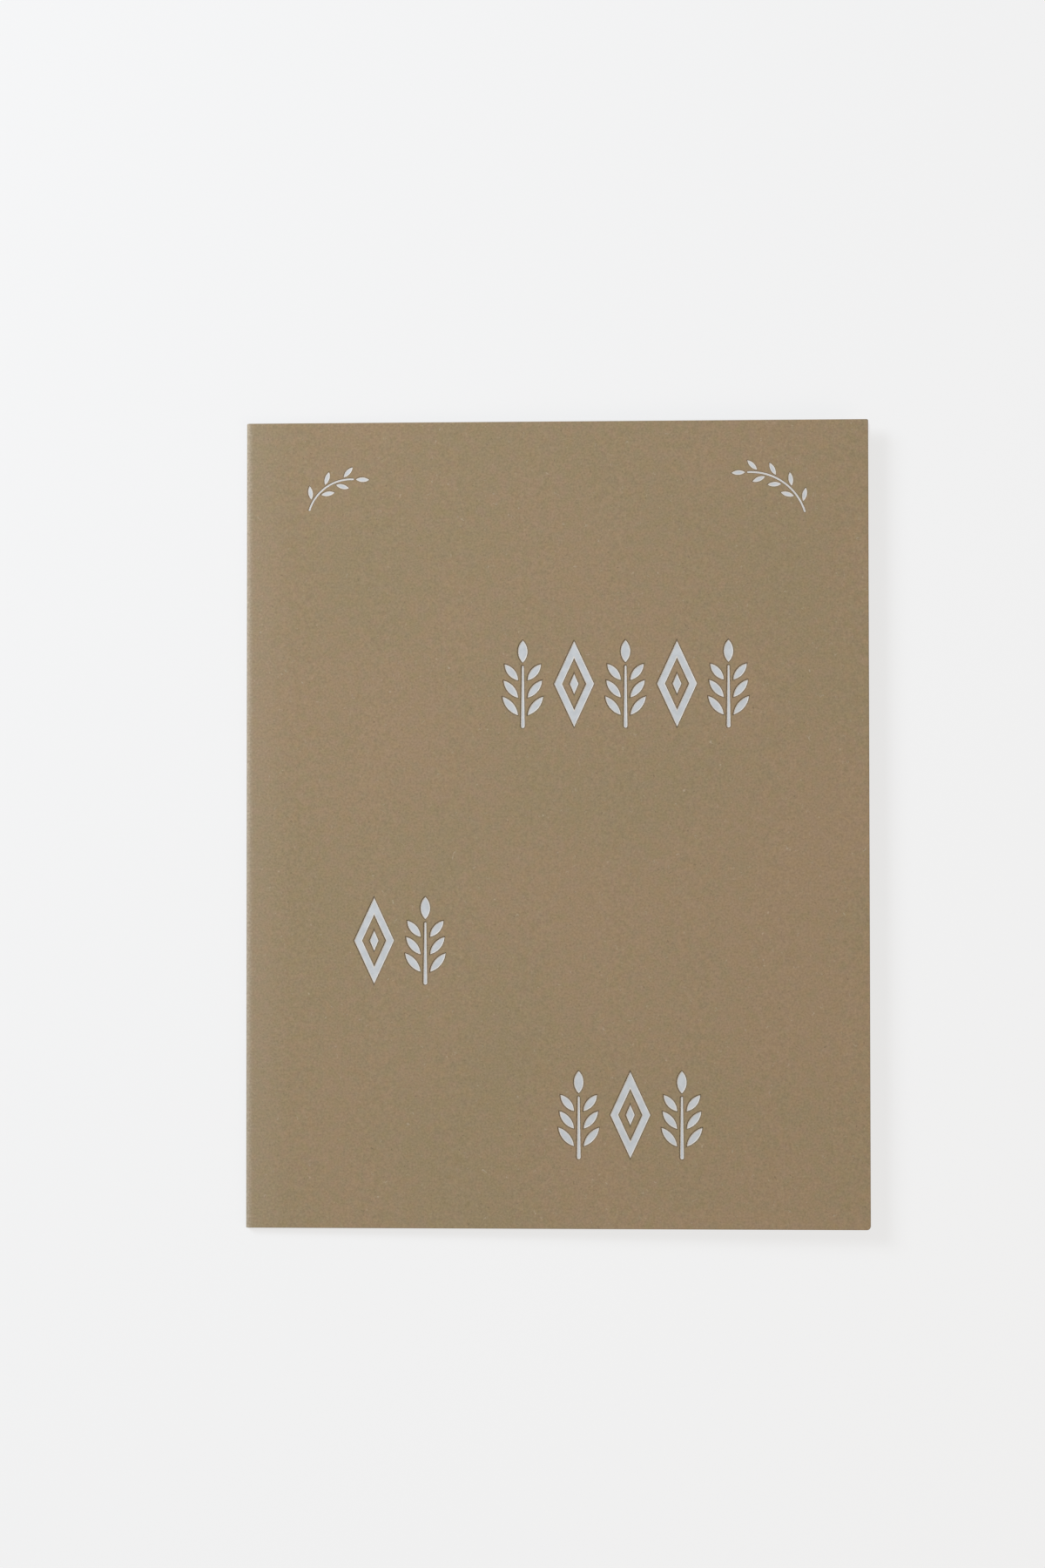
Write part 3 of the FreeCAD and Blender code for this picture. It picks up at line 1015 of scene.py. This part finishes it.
@dataclass(frozen=True)
class Press:
    """Models pressed shapes as open cups, with their rims in the plane z = 0."""

    wall: PressWall
    foil_start: float = 0.55
    foil_lift: float = 0.006 * MM
    foil_rim: float = 0.1 * MM

    def card_levels(self) -> list[Level]:
        """The section of a recess in the card."""
        return self.wall.levels()

    def foil_levels(self) -> list[Level]:
        """The section of the foil: the lower part of the wall and the floor, lifted off the card.

        Returns:
            The rings, outermost first.
        """
        levels = self.wall.levels()
        top, foot = levels[self.wall.steps + 1], levels[self.wall.steps + 2]
        start = Level(
            top.inset + (foot.inset - top.inset) * self.foil_start,
            top.drop + (foot.drop - top.drop) * self.foil_start,
        )
        last = Level(levels[-1].inset + self.foil_rim, levels[-1].drop, 0.0)
        below = [start, *levels[self.wall.steps + 2 :], last]
        lift = self.foil_lift
        return [Level(level.inset + lift, level.drop - lift, level.rim) for level in below]

    def wall_ring(self, outline: Edge, levels: list[Level]) -> bpy.types.Object:
        """Extrude a ring down the levels of a section, and leave it in edit mode.

        Args:
            outline: gives the shape's edge at an inset.
            levels: the section, from the top down.

        Returns:
            The wall, with its lowest ring selected.
        """
        corners = len(outline(levels[0].inset))
        wall = Bench.start(
            bpy.ops.mesh.primitive_circle_add, vertices=corners, radius=MM, fill_type="NOTHING"
        )
        shape = bmesh.from_edit_mesh(wall.data)
        shape.verts.layers.float.new(RIM)
        ring = {tuple(vertex.co): number for number, vertex in enumerate(shape.verts)}
        for number, level in enumerate(levels):
            if number:
                bpy.ops.mesh.extrude_edges_move()
                shape = bmesh.from_edit_mesh(wall.data)
            rim = shape.verts.layers.float[RIM]
            spots = outline(level.inset)
            placed = [(ring[tuple(vertex.co)], vertex) for vertex in shape.verts if vertex.select]
            for corner, vertex in placed:
                vertex.co = spots[corner] - Vector((0, 0, level.drop))
                vertex[rim] = level.rim
            ring = {tuple(vertex.co): corner for corner, vertex in placed}
            bmesh.update_edit_mesh(wall.data)
        return wall

    def cup(self, outline: Edge, levels: list[Level]) -> bpy.types.Object:
        """Model one recess with a floor.

        Args:
            outline: gives the shape's edge at an inset.
            levels: the section, from the top down.

        Returns:
            The cup, with its open side up.
        """
        cup = self.wall_ring(outline, levels)
        bpy.ops.mesh.edge_face_add()
        bpy.ops.object.mode_set(mode="OBJECT")
        return cup

    def band(self, outer: Rhombus, inner: Rhombus, levels: list[Level]) -> bpy.types.Object:
        """Model a recess that runs round an island.

        Args:
            outer: the recess's outer edge.
            inner: the island's edge.
            levels: the section, from the top down.

        Returns:
            The recess, with its open side up.
        """
        walls = []
        for outline in (outer.outline, flipped(inner.outline)):
            walls.append(self.wall_ring(outline, levels))
            bpy.ops.object.mode_set(mode="OBJECT")
        band = Bench.join(walls, "band")
        bpy.ops.object.mode_set(mode="EDIT")
        depth = levels[-1].drop

        def borders_floor(edge: bmesh.types.BMEdge) -> bool:
            """Whether an edge borders the band's open floor."""
            return edge.is_boundary and all(abs(v.co.z + depth) < HAIR for v in edge.verts)

        Bench.pick(band, Element.EDGE, borders_floor)
        bpy.ops.mesh.fill()
        bpy.ops.object.mode_set(mode="OBJECT")
        return band

    def lozenge(self, shape: Lozenge, levels: list[Level], with_land: bool) -> bpy.types.Object:
        """Model the lozenge's band and kernel.

        Args:
            shape: the lozenge.
            levels: the section, from the top down.
            with_land: whether the untouched card between band and kernel is filled in.

        Returns:
            The lozenge's recesses.
        """
        outer, inner, kernel = shape.edges()
        pieces = [self.band(outer, inner, levels), self.cup(kernel.outline, levels)]
        lozenge = Bench.join(pieces, "lozenge")
        if with_land:
            bpy.ops.object.mode_set(mode="EDIT")
            mid_stroke = (inner.width + outer.width) / 4

            def borders_land(edge: bmesh.types.BMEdge) -> bool:
                """Whether an edge borders the untouched card inside the band."""
                return edge.is_boundary and all(abs(v.co.x) < mid_stroke for v in edge.verts)

            Bench.pick(lozenge, Element.EDGE, borders_land)
            bpy.ops.mesh.fill()
            bpy.ops.object.mode_set(mode="OBJECT")
        return lozenge

    def group(self, outlines: Iterable[Edge], levels: list[Level]) -> bpy.types.Object:
        """Model all of one motif's cups as a single object."""
        return Bench.join([self.cup(outline, levels) for outline in outlines], "motif")


@dataclass(frozen=True)
class Row:
    """A row of tall motifs on the cover."""

    name: str
    motifs: tuple[Motif, ...]
    left_end: float
    bottom: float
    pitch: float = 8.9 * MM
    width: float = Lozenge.width
    height: float = Lozenge.height

    def places(self) -> list[tuple[Motif, float, float]]:
        """Each motif with its middle's distances from the fold and from the lower edge.

        Returns:
            The motifs from left to right.
        """
        up = self.bottom + self.height / 2
        start = self.left_end + self.width / 2
        return [(motif, start + number * self.pitch, up) for number, motif in enumerate(self.motifs)]


@dataclass(frozen=True)
class FoldedSheet:
    """The card itself: two leaves and a round crease, cut from one sheet.

    It is modelled with the cover level and the crease's centre line at the origin, and then
    settled on its back leaf.
    """

    width: float
    height: float
    rise: float
    thickness: float = 0.5 * MM
    inner_radius: float = 0.2 * MM
    lower_corner: float = 0.7 * MM
    upper_corner: float = 0.3 * MM
    cut_bevel: float = 0.12 * MM
    collar: float = 0.06 * MM
    arris_angle: float = math.radians(50)
    cut_slant: float = 0.6
    crease_segments: int = 28
    corner_segments: int = 8
    bevel_segments: int = 3

    @property
    def outer_radius(self) -> float:
        """The crease's outer radius."""
        return self.inner_radius + self.thickness

    @property
    def reach(self) -> float:
        """How far each leaf runs from the crease's centre line."""
        return self.width - self.outer_radius

    @property
    def opening(self) -> float:
        """The angle between the leaves, from how high the cover's free edge stands.

        Returns:
            The angle in radians.
        """
        arm = math.hypot(self.reach, self.outer_radius)
        to_corner = math.asin((self.rise - self.outer_radius) / arm)
        return to_corner - math.atan2(self.outer_radius, self.reach)

    @property
    def crease_length(self) -> float:
        """How much of the sheet goes round the crease, along its outside."""
        return self.outer_radius * (math.pi - self.opening)

    def laid_flat(self, spot: Vector) -> Vector:
        """Where a point of the level model lies once the sheet is unfolded.

        Args:
            spot: the point.

        Returns:
            How far along the sheet it is, from where the cover leaves the crease and negative round
            the crease and along the back leaf; how far up; and how deep under the sheet's outside.
        """
        back_along = Vector((math.cos(self.opening), 0, -math.sin(self.opening))).dot(spot)
        if spot.x >= 0 and spot.z > 0:
            along, out = spot.x, spot.z
        elif back_along > 0:
            along = -self.crease_length - back_along
            out = Vector((-math.sin(self.opening), 0, -math.cos(self.opening))).dot(spot)
        else:
            along = -self.outer_radius * math.atan2(-spot.x, spot.z)
            out = math.hypot(spot.x, spot.z)
        return Vector((along, spot.y + self.height / 2, self.outer_radius - out))

    def at_rest(self) -> Matrix:
        """Turn and move the model from its level cover to where the card lies."""
        centre = Vector((self.outer_radius - self.width / 2, 0, self.outer_radius))
        return Matrix.Translation(centre) @ Matrix.Rotation(-self.opening, 4, "Y")

    def on_cover(self, across: float, up: float) -> Matrix:
        """A place on the level cover.

        Args:
            across: the distance from the fold.
            up: the distance from the lower edge.

        Returns:
            The move from the origin to that place.
        """
        spot = (across - self.outer_radius, up - self.height / 2, self.outer_radius)
        return Matrix.Translation(spot)

    def build(self, stock: bpy.types.Material, cut: bpy.types.Material) -> bpy.types.Object:
        """Model the sheet with its rounded corners and softened cut edges.

        Args:
            stock: the faces' finish.
            cut: the cut edges' finish.

        Returns:
            The sheet, closed all round.
        """
        sheet = Bench.start(bpy.ops.mesh.primitive_plane_add, size=1)
        middle = (0, 0, 0)
        bpy.ops.transform.rotate(value=math.pi / 2, orient_axis="Y", center_override=middle)
        bpy.ops.transform.resize(value=(1, self.height, self.thickness), center_override=middle)
        bpy.ops.transform.translate(value=(0, 0, self.inner_radius + self.thickness / 2))
        self.extend((self.reach, 0, 0))
        Bench.pick(sheet, Element.FACE, self.is_at_crease)
        bpy.ops.mesh.spin(
            steps=self.crease_segments, angle=math.pi - self.opening, center=middle, axis=(0, 1, 0)
        )
        self.extend((self.reach * math.cos(self.opening), 0, -self.reach * math.sin(self.opening)))
        bpy.ops.mesh.select_all(action="SELECT")
        bpy.ops.mesh.remove_doubles(threshold=HAIR)
        Bench.face_outwards()
        self.round_corners(sheet, -1, self.lower_corner)
        self.round_corners(sheet, 1, self.upper_corner)
        self.soften_cuts()
        self.finish_faces(sheet, stock, cut)
        bpy.ops.object.mode_set(mode="OBJECT")
        return sheet

    def extend(self, step: tuple[float, float, float]) -> None:
        """Extrude the selected face by a step."""
        bpy.ops.mesh.extrude_region_move(TRANSFORM_OT_translate={"value": step})

    def is_at_crease(self, face: bmesh.types.BMFace) -> bool:
        """Whether a face is the one where the cover begins."""
        return abs(face.calc_center_median().x) < HAIR

    def round_corners(self, sheet: bpy.types.Object, side: int, radius: float) -> None:
        """Round the free corners of both leaves.

        Args:
            sheet: the sheet in edit mode.
            side: -1 for the lower corners and 1 for the upper ones.
            radius: the corners' radius.
        """

        def is_corner(edge: bmesh.types.BMEdge) -> bool:
            """Whether an edge crosses the thickness at a free corner on this side.

            Args:
                edge: the edge.

            Returns:
                True at a corner.
            """
            outermost = self.height / 2 - HAIR
            at_corner = [v.co.x > self.reach / 2 and v.co.y * side > outermost for v in edge.verts]
            return edge.calc_length() < 2 * self.thickness and all(at_corner)

        Bench.pick(sheet, Element.EDGE, is_corner)
        bpy.ops.mesh.bevel(offset=radius, segments=self.corner_segments, affect="EDGES")

    def soften_cuts(self) -> None:
        """Bevel the arrises that the blade has left."""
        bpy.ops.mesh.select_all(action="DESELECT")
        bpy.ops.mesh.edges_select_sharp(sharpness=self.arris_angle)
        bpy.ops.mesh.bevel(offset=self.cut_bevel, segments=self.bevel_segments, affect="EDGES")

    def finish_faces(
        self, sheet: bpy.types.Object, stock: bpy.types.Material, cut: bpy.types.Material
    ) -> None:
        """Give the cut edges their own finish, and each broad face a narrow collar.

        Args:
            sheet: the sheet in edit mode.
            stock: the faces' finish.
            cut: the cut edges' finish.
        """
        sheet.data.materials.append(stock)
        sheet.data.materials.append(cut)

        def is_cut(face: bmesh.types.BMFace) -> bool:
            """Whether a face belongs to a cut edge.

            Args:
                face: the face.

            Returns:
                True on a cut edge.
            """
            at_end = face.calc_center_median().x > self.reach / 2
            looks_along = abs(face.normal.y) > self.cut_slant
            return looks_along or (at_end and face.normal.x > self.cut_slant)

        Bench.pick(sheet, Element.FACE, is_cut)
        sheet.active_material_index = CUT_INDEX
        bpy.ops.object.material_slot_assign()
        Bench.pick(sheet, Element.FACE, self.is_broad)
        bpy.ops.mesh.inset(thickness=self.collar, use_individual=True)

    def is_broad(self, face: bmesh.types.BMFace) -> bool:
        """Whether a face is one of the four broad ones."""
        return face.calc_area() > self.width * self.height / 2

    def open_cover(self, sheet: bpy.types.Object) -> None:
        """Take away the cover's broad outer face, whose rim stays.

        Args:
            sheet: the sheet.
        """

        def is_outside(face: bmesh.types.BMFace) -> bool:
            """Whether a face is the cover's broad outer one."""
            middle = self.inner_radius + self.thickness / 2
            return self.is_broad(face) and face.calc_center_median().z > middle

        Bench.take_up(sheet)
        bpy.ops.object.mode_set(mode="EDIT")
        Bench.pick(sheet, Element.FACE, is_outside)
        bpy.ops.mesh.delete(type="ONLY_FACE")
        bpy.ops.object.mode_set(mode="OBJECT")

    def close_cover(self, sheet: bpy.types.Object) -> None:
        """Fill the cover between its rim and the pressed shapes.

        Args:
            sheet: the sheet, joined with the pressed shapes' cups.
        """
        bpy.ops.object.mode_set(mode="EDIT")
        Bench.pick(sheet, Element.EDGE, lambda edge: edge.is_boundary)
        bpy.ops.mesh.fill()
        Bench.face_outwards()
        bpy.ops.object.mode_set(mode="OBJECT")


@dataclass(frozen=True)
class Panel:
    """One side of the sheet on the texture map, in shares of the map's side.

    axes says which of an unfolded place's distances run across and up the panel.
    """

    axes: tuple[int, int]
    left: float
    bottom: float
    start: float
    across_scale: float
    up_scale: float

    def spot(self, place: Vector) -> tuple[float, float]:
        """Where an unfolded place of the sheet goes on the map.

        Args:
            place: its distance along the sheet, up it and under its outside.

        Returns:
            The place's u and v.
        """
        across, up = (place[axis] for axis in self.axes)
        return (
            self.left + (across - self.start) * self.across_scale,
            self.bottom + up * self.up_scale,
        )


@dataclass(frozen=True)
class SkinMap:
    """The texture map of the card, on which the cover's outside gets most of the room.

    The other broad sides stand in a column beside it, and the cut edges lie in strips above.
    """

    sheet: FoldedSheet
    name: str = "OFBake"
    cover_share: float = 0.93
    other_share: float = 0.302
    strip_share: float = 0.008
    gap: float = 0.006
    # How far out from a face the sheet's depth is read, to tell its outside from its inside
    step: float = 0.01 * MM

    def column_bottom(self, number: int) -> float:
        """The lower end of a broad side in the column beside the cover."""
        return self.gap + number * (self.other_share + self.gap)

    def strip_bottom(self, number: int) -> float:
        """The lower side of a strip above the cover."""
        return self.cover_share + 2 * self.gap + number * (self.strip_share + self.gap)

    def panels(self) -> dict[Side, Panel]:
        """Lay out the broad sides and the cut edges, none of them mirrored.

        Returns:
            The panel of each side.
        """
        gap, sheet = self.gap, self.sheet
        broad, edge, end = (0, 1), (0, 2), (1, 2)
        back_start = -sheet.crease_length
        back_end = back_start - sheet.reach
        large, small = self.cover_share / sheet.height, self.other_share / sheet.height
        along = (1 - 2 * gap) / (sheet.reach - back_end)
        through = self.strip_share / sheet.thickness
        column = 2 * gap + (sheet.reach - back_start) * large
        lower_top = self.strip_bottom(0) + self.strip_share
        cover_top = self.strip_bottom(2) + self.strip_share
        return {
            Side.COVER_OUTSIDE: Panel(broad, gap, gap, back_start, large, large),
            Side.BACK_OUTSIDE: Panel(broad, column, self.column_bottom(0), back_end, small, small),
            Side.COVER_INSIDE: Panel(broad, column, self.column_bottom(1), sheet.reach, -small, small),
            Side.BACK_INSIDE: Panel(broad, column, self.column_bottom(2), back_start, -small, small),
            Side.LOWER_EDGE: Panel(edge, gap, lower_top, back_end, along, -through),
            Side.UPPER_EDGE: Panel(edge, gap, self.strip_bottom(1), back_end, along, through),
            Side.COVER_END: Panel(end, gap, cover_top, 0.0, along, -through),
            Side.BACK_END: Panel(end, gap, self.strip_bottom(3), 0.0, along, through),
        }

    def side_of(self, face: bmesh.types.BMFace) -> Side:
        """Tell which side of the sheet a face belongs to.

        Args:
            face: a face of the level model.

        Returns:
            The side.
        """
        middle = face.calc_center_median()
        place = self.sheet.laid_flat(middle)
        on_cover = place.x > -self.sheet.crease_length
        if face.material_index == CUT_INDEX:
            if abs(face.normal.y) > abs(face.normal.x):
                return Side.UPPER_EDGE if face.normal.y > 0 else Side.LOWER_EDGE
            return Side.COVER_END if on_cover else Side.BACK_END
        further_out = self.sheet.laid_flat(middle + face.normal * self.step)
        if further_out.z < place.z:
            return Side.COVER_OUTSIDE if on_cover else Side.BACK_OUTSIDE
        return Side.COVER_INSIDE if on_cover else Side.BACK_INSIDE

    def lay(self, card: bpy.types.Object) -> None:
        """Give the level card its texture map.

        Args:
            card: the card, before it is settled.
        """
        shape = bmesh.new()
        shape.from_mesh(card.data)
        layer = shape.loops.layers.uv.new(self.name)
        panels = self.panels()
        for face in shape.faces:
            panel = panels[self.side_of(face)]
            for corner in face.loops:
                corner[layer].uv = panel.spot(self.sheet.laid_flat(corner.vert.co))
        shape.to_mesh(card.data)
        shape.free()


@dataclass(frozen=True)
class GreetingCard:
    """The whole card: the sheet, its pressed ornaments and their foil."""

    sheet: FoldedSheet
    tall_press: Press = Press(PressWall(depth=0.22 * MM))
    fine_press: Press = Press(
        PressWall(depth=0.12 * MM, shoulder_radius=0.1 * MM, foot_radius=0.03 * MM),
        foil_rim=0.22 * MM,
    )
    sprig: Sprig = Sprig()
    lozenge: Lozenge = Lozenge()
    left_spray: Spray = Spray(radius=7.6 * MM, leaves=5, mirror=True)
    right_spray: Spray = Spray(radius=9.8 * MM, leaves=7, mirror=False)
    left_spray_place: tuple[float, float] = (13.9 * MM, 11.2 * MM)
    right_spray_place: tuple[float, float] = (14.7 * MM, 10.8 * MM)
    upper_side_margin: float = 20.6 * MM
    upper_top_margin: float = 37.85 * MM
    left_side_margin: float = 18.7 * MM
    left_bottom_margin: float = 41.95 * MM
    lower_side_margin: float = 28.8 * MM
    lower_bottom_margin: float = 11.9 * MM
    film: float = 0.02 * MM
    smooth_angle: float = math.radians(36)

    def rows(self) -> list[Row]:
        """The three rows of tall motifs.

        Returns:
            The rows, each with its name, motifs and place.
        """

        def left_end(motifs: tuple[Motif, ...], margin: float) -> float:
            """The left end of a row that ends at a margin from the free edge."""
            return self.sheet.width - margin - (len(motifs) - 1) * Row.pitch - Row.width

        sprig, lozenge = Motif.SPRIG, Motif.LOZENGE
        upper = (sprig, lozenge, sprig, lozenge, sprig)
        lower = (sprig, lozenge, sprig)
        upper_bottom = self.sheet.height - self.upper_top_margin - Row.height
        return [
            Row("upper_row", upper, left_end(upper, self.upper_side_margin), upper_bottom),
            Row("left_row", (lozenge, sprig), self.left_side_margin, self.left_bottom_margin),
            Row(
                "lower_row",
                lower,
                left_end(lower, self.lower_side_margin),
                self.lower_bottom_margin,
            ),
        ]

    def sprays(self) -> dict[str, tuple[Spray, float, float]]:
        """Each corner spray with its distances from the fold and from the lower edge.

        Returns:
            The sprays by name.
        """
        left_across, left_down = self.left_spray_place
        right_in, right_down = self.right_spray_place
        height = self.sheet.height
        return {
            "left_spray": (self.left_spray, left_across, height - left_down),
            "right_spray": (self.right_spray, self.sheet.width - right_in, height - right_down),
        }

    def ornaments(
        self, levels_of: Callable[[Press], list[Level]], with_land: bool, finish: bpy.types.Material
    ) -> dict[str, list[bpy.types.Object]]:
        """Model every ornament where it lies on the level cover.

        Args:
            levels_of: picks the card's or the foil's section from a press.
            with_land: whether the lozenges' inner land is filled in.
            finish: the finish they all take.

        Returns:
            The objects of each row and spray, by name.
        """
        tall = levels_of(self.tall_press)
        masters = {
            Motif.SPRIG: self.tall_press.group(self.sprig.outlines(), tall),
            Motif.LOZENGE: self.tall_press.lozenge(self.lozenge, tall, with_land),
        }
        found = {
            row.name: [
                Bench.copy_to(masters[motif], self.sheet.on_cover(across, up))
                for motif, across, up in row.places()
            ]
            for row in self.rows()
        }
        for name, (spray, across, up) in self.sprays().items():
            master = self.fine_press.group(spray.outlines(), levels_of(self.fine_press))
            found[name] = [Bench.copy_to(master, self.sheet.on_cover(across, up))]
            bpy.data.objects.remove(master)
        for master in masters.values():
            bpy.data.objects.remove(master)
        for cups in found.values():
            for cup in cups:
                cup.data.materials.append(finish)
        return found

    def build_card(self, stock: bpy.types.Material, cut: bpy.types.Material) -> bpy.types.Object:
        """Model the sheet with the ornaments pressed into its cover.

        Args:
            stock: the faces' finish.
            cut: the cut edges' finish.

        Returns:
            The finished card.
        """
        sheet = self.sheet.build(stock, cut)
        self.sheet.open_cover(sheet)
        cups = self.ornaments(Press.card_levels, True, stock)
        card = Bench.join([sheet, *(cup for group in cups.values() for cup in group)], "card")
        self.sheet.close_cover(card)
        SkinMap(self.sheet).lay(card)
        return self.settle(card, Slot.CARD_STOCK)

    def build_foils(self, foil: bpy.types.Material) -> list[bpy.types.Object]:
        """Model the foil as one thin solid in each row and spray.

        Args:
            foil: its finish.

        Returns:
            The foil pieces.
        """
        pieces = []
        for name, cups in self.ornaments(Press.foil_levels, False, foil).items():
            piece = Bench.join(cups, f"foil_{name}")
            bpy.ops.object.mode_set(mode="EDIT")
            Bench.face_outwards()
            Bench.face_up(piece)
            bpy.ops.object.mode_set(mode="OBJECT")
            Bench.apply(piece, "SOLIDIFY", thickness=self.film, offset=-1.0)
            pieces.append(self.settle(piece, Slot.WHITE_FOIL))
        return pieces

    def settle(self, piece: bpy.types.Object, slot: Slot) -> bpy.types.Object:
        """Lay a piece where the card lies, smooth it and tie it to the frame.

        Args:
            piece: the piece, modelled with the cover level.
            slot: the material slot of the piece's finish; not used.

        Returns:
            The same piece.
        """
        piece.data.transform(self.sheet.at_rest())
        Bench.take_up(piece)
        bpy.ops.object.shade_smooth_by_angle(angle=self.smooth_angle)
        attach(piece, "root")
        return piece


@dataclass(frozen=True)
class Lamp:
    """One soft rectangular lamp that looks at a point on the floor."""

    name: str
    place: Vector
    width: float
    height: float
    power: float
    tint: tuple[float, float, float] = (1.0, 1.0, 1.0)

    def build(self, target: Vector) -> bpy.types.Object:
        """Hang the lamp and point it.

        Args:
            target: where it looks.

        Returns:
            The lamp.
        """
        light = bpy.data.lights.new(self.name, "AREA")
        light.shape = "RECTANGLE"
        light.size, light.size_y = self.width, self.height
        light.energy, light.color = self.power, self.tint
        lamp = bpy.data.objects.new(self.name, light)
        aim = (target - self.place).to_track_quat("-Z", "Y").to_matrix().to_4x4()
        lamp.matrix_world = Matrix.Translation(self.place) @ aim
        bpy.context.collection.objects.link(lamp)
        return lamp


@dataclass(frozen=True)
class Studio:
    """The pale floor, the lamps, the sky and the camera that looks down on the card."""

    floor_size: float = 4.0
    floor_drop: float = 0.02 * MM
    camera_place: Vector = field(default_factory=lambda: Vector((11.63, -10.68, 642.99)) * MM)
    # The camera's turn in degrees, and its lens and sensor in millimetres
    camera_turn: tuple[float, float, float] = (1.573, 1.57, -0.05)
    lens: float = 85.0
    sensor: float = 36.0
    sky_strength: float = 0.3
    sky_tone: Colour = srgb(243, 243, 243)
    lamps: tuple[Lamp, ...] = (
        Lamp(
            name="key_lamp",
            place=Vector((-0.54, 0.36, 0.54)),
            width=0.35,
            height=0.35,
            power=6.45,
            tint=(0.93, 0.99, 1.08),
        ),
        Lamp(
            name="fill_lamp",
            place=Vector((0.5, -0.36, 0.5)),
            width=0.5,
            height=0.5,
            power=1.4,
            tint=(1.16, 0.9, 0.62),
        ),
    )

    def build(self, floor_finish: bpy.types.Material) -> None:
        """Set the whole studio up.

        Args:
            floor_finish: the floor's finish.
        """
        bpy.ops.object.select_all(action="DESELECT")
        place = (0, 0, -self.floor_drop)
        bpy.ops.mesh.primitive_plane_add(size=self.floor_size, location=place)
        floor = bpy.context.object
        floor.name = "floor"
        floor.data.materials.append(floor_finish)
        for lamp in self.lamps:
            lamp.build(Vector())
        self.build_sky()
        self.build_camera()

    def build_sky(self) -> None:
        """Light the scene softly from all round, behind a pale even backdrop."""
        world = bpy.data.worlds.new("studio_sky")
        bpy.context.scene.world = world
        nodes = NodeTree(world)
        strength = nodes.looked_at() * (1 - self.sky_strength) + self.sky_strength
        background = nodes.add(
            "ShaderNodeBackground", None, {"Color": self.sky_tone, "Strength": strength}
        )
        nodes.add("ShaderNodeOutputWorld", None, {"Surface": background.outputs[0]})

    def build_camera(self) -> None:
        """Hang the camera over the card, at the photograph's angle and framing."""
        lens = bpy.data.cameras.new("camera")
        lens.sensor_fit = "VERTICAL"
        lens.sensor_height = self.sensor
        lens.lens = self.lens
        camera = bpy.data.objects.new("camera", lens)
        camera.location = self.camera_place
        camera.rotation_euler = [math.radians(turn) for turn in self.camera_turn]
        bpy.context.collection.objects.link(camera)
        bpy.context.scene.camera = camera


def report(piece: bpy.types.Object) -> None:
    """Log a finished piece with its size."""
    size = " x ".join(f"{side / MM:.2f}" for side in piece.dimensions)
    LOG.info("%s: %s mm, %d faces", piece.name, size, len(piece.data.polygons))


def main() -> None:
    """Build and dress the card, then the studio round it."""
    logging.basicConfig(level=logging.INFO, format="%(name)s: %(message)s")
    bpy.context.scene.view_settings.view_transform = "Standard"
    low, high = (Vector(corner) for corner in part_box(CARD_NODE))
    span = high - low
    sheet = FoldedSheet(width=span.x, height=span.y, rise=span.z)
    card = GreetingCard(sheet)
    stock = CardStock().build("card_stock_finish", low.x, sheet.outer_radius)
    paper = card.build_card(stock, CutEdge().build("cut_edge_finish"))
    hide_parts(CARD_NODE)
    report(paper)
    for foil in card.build_foils(WhiteFoil().build("white_foil_finish")):
        report(foil)
    Studio().build(PaleFloor().build("pale_floor_finish"))


if __name__ == "__main__":
    main()
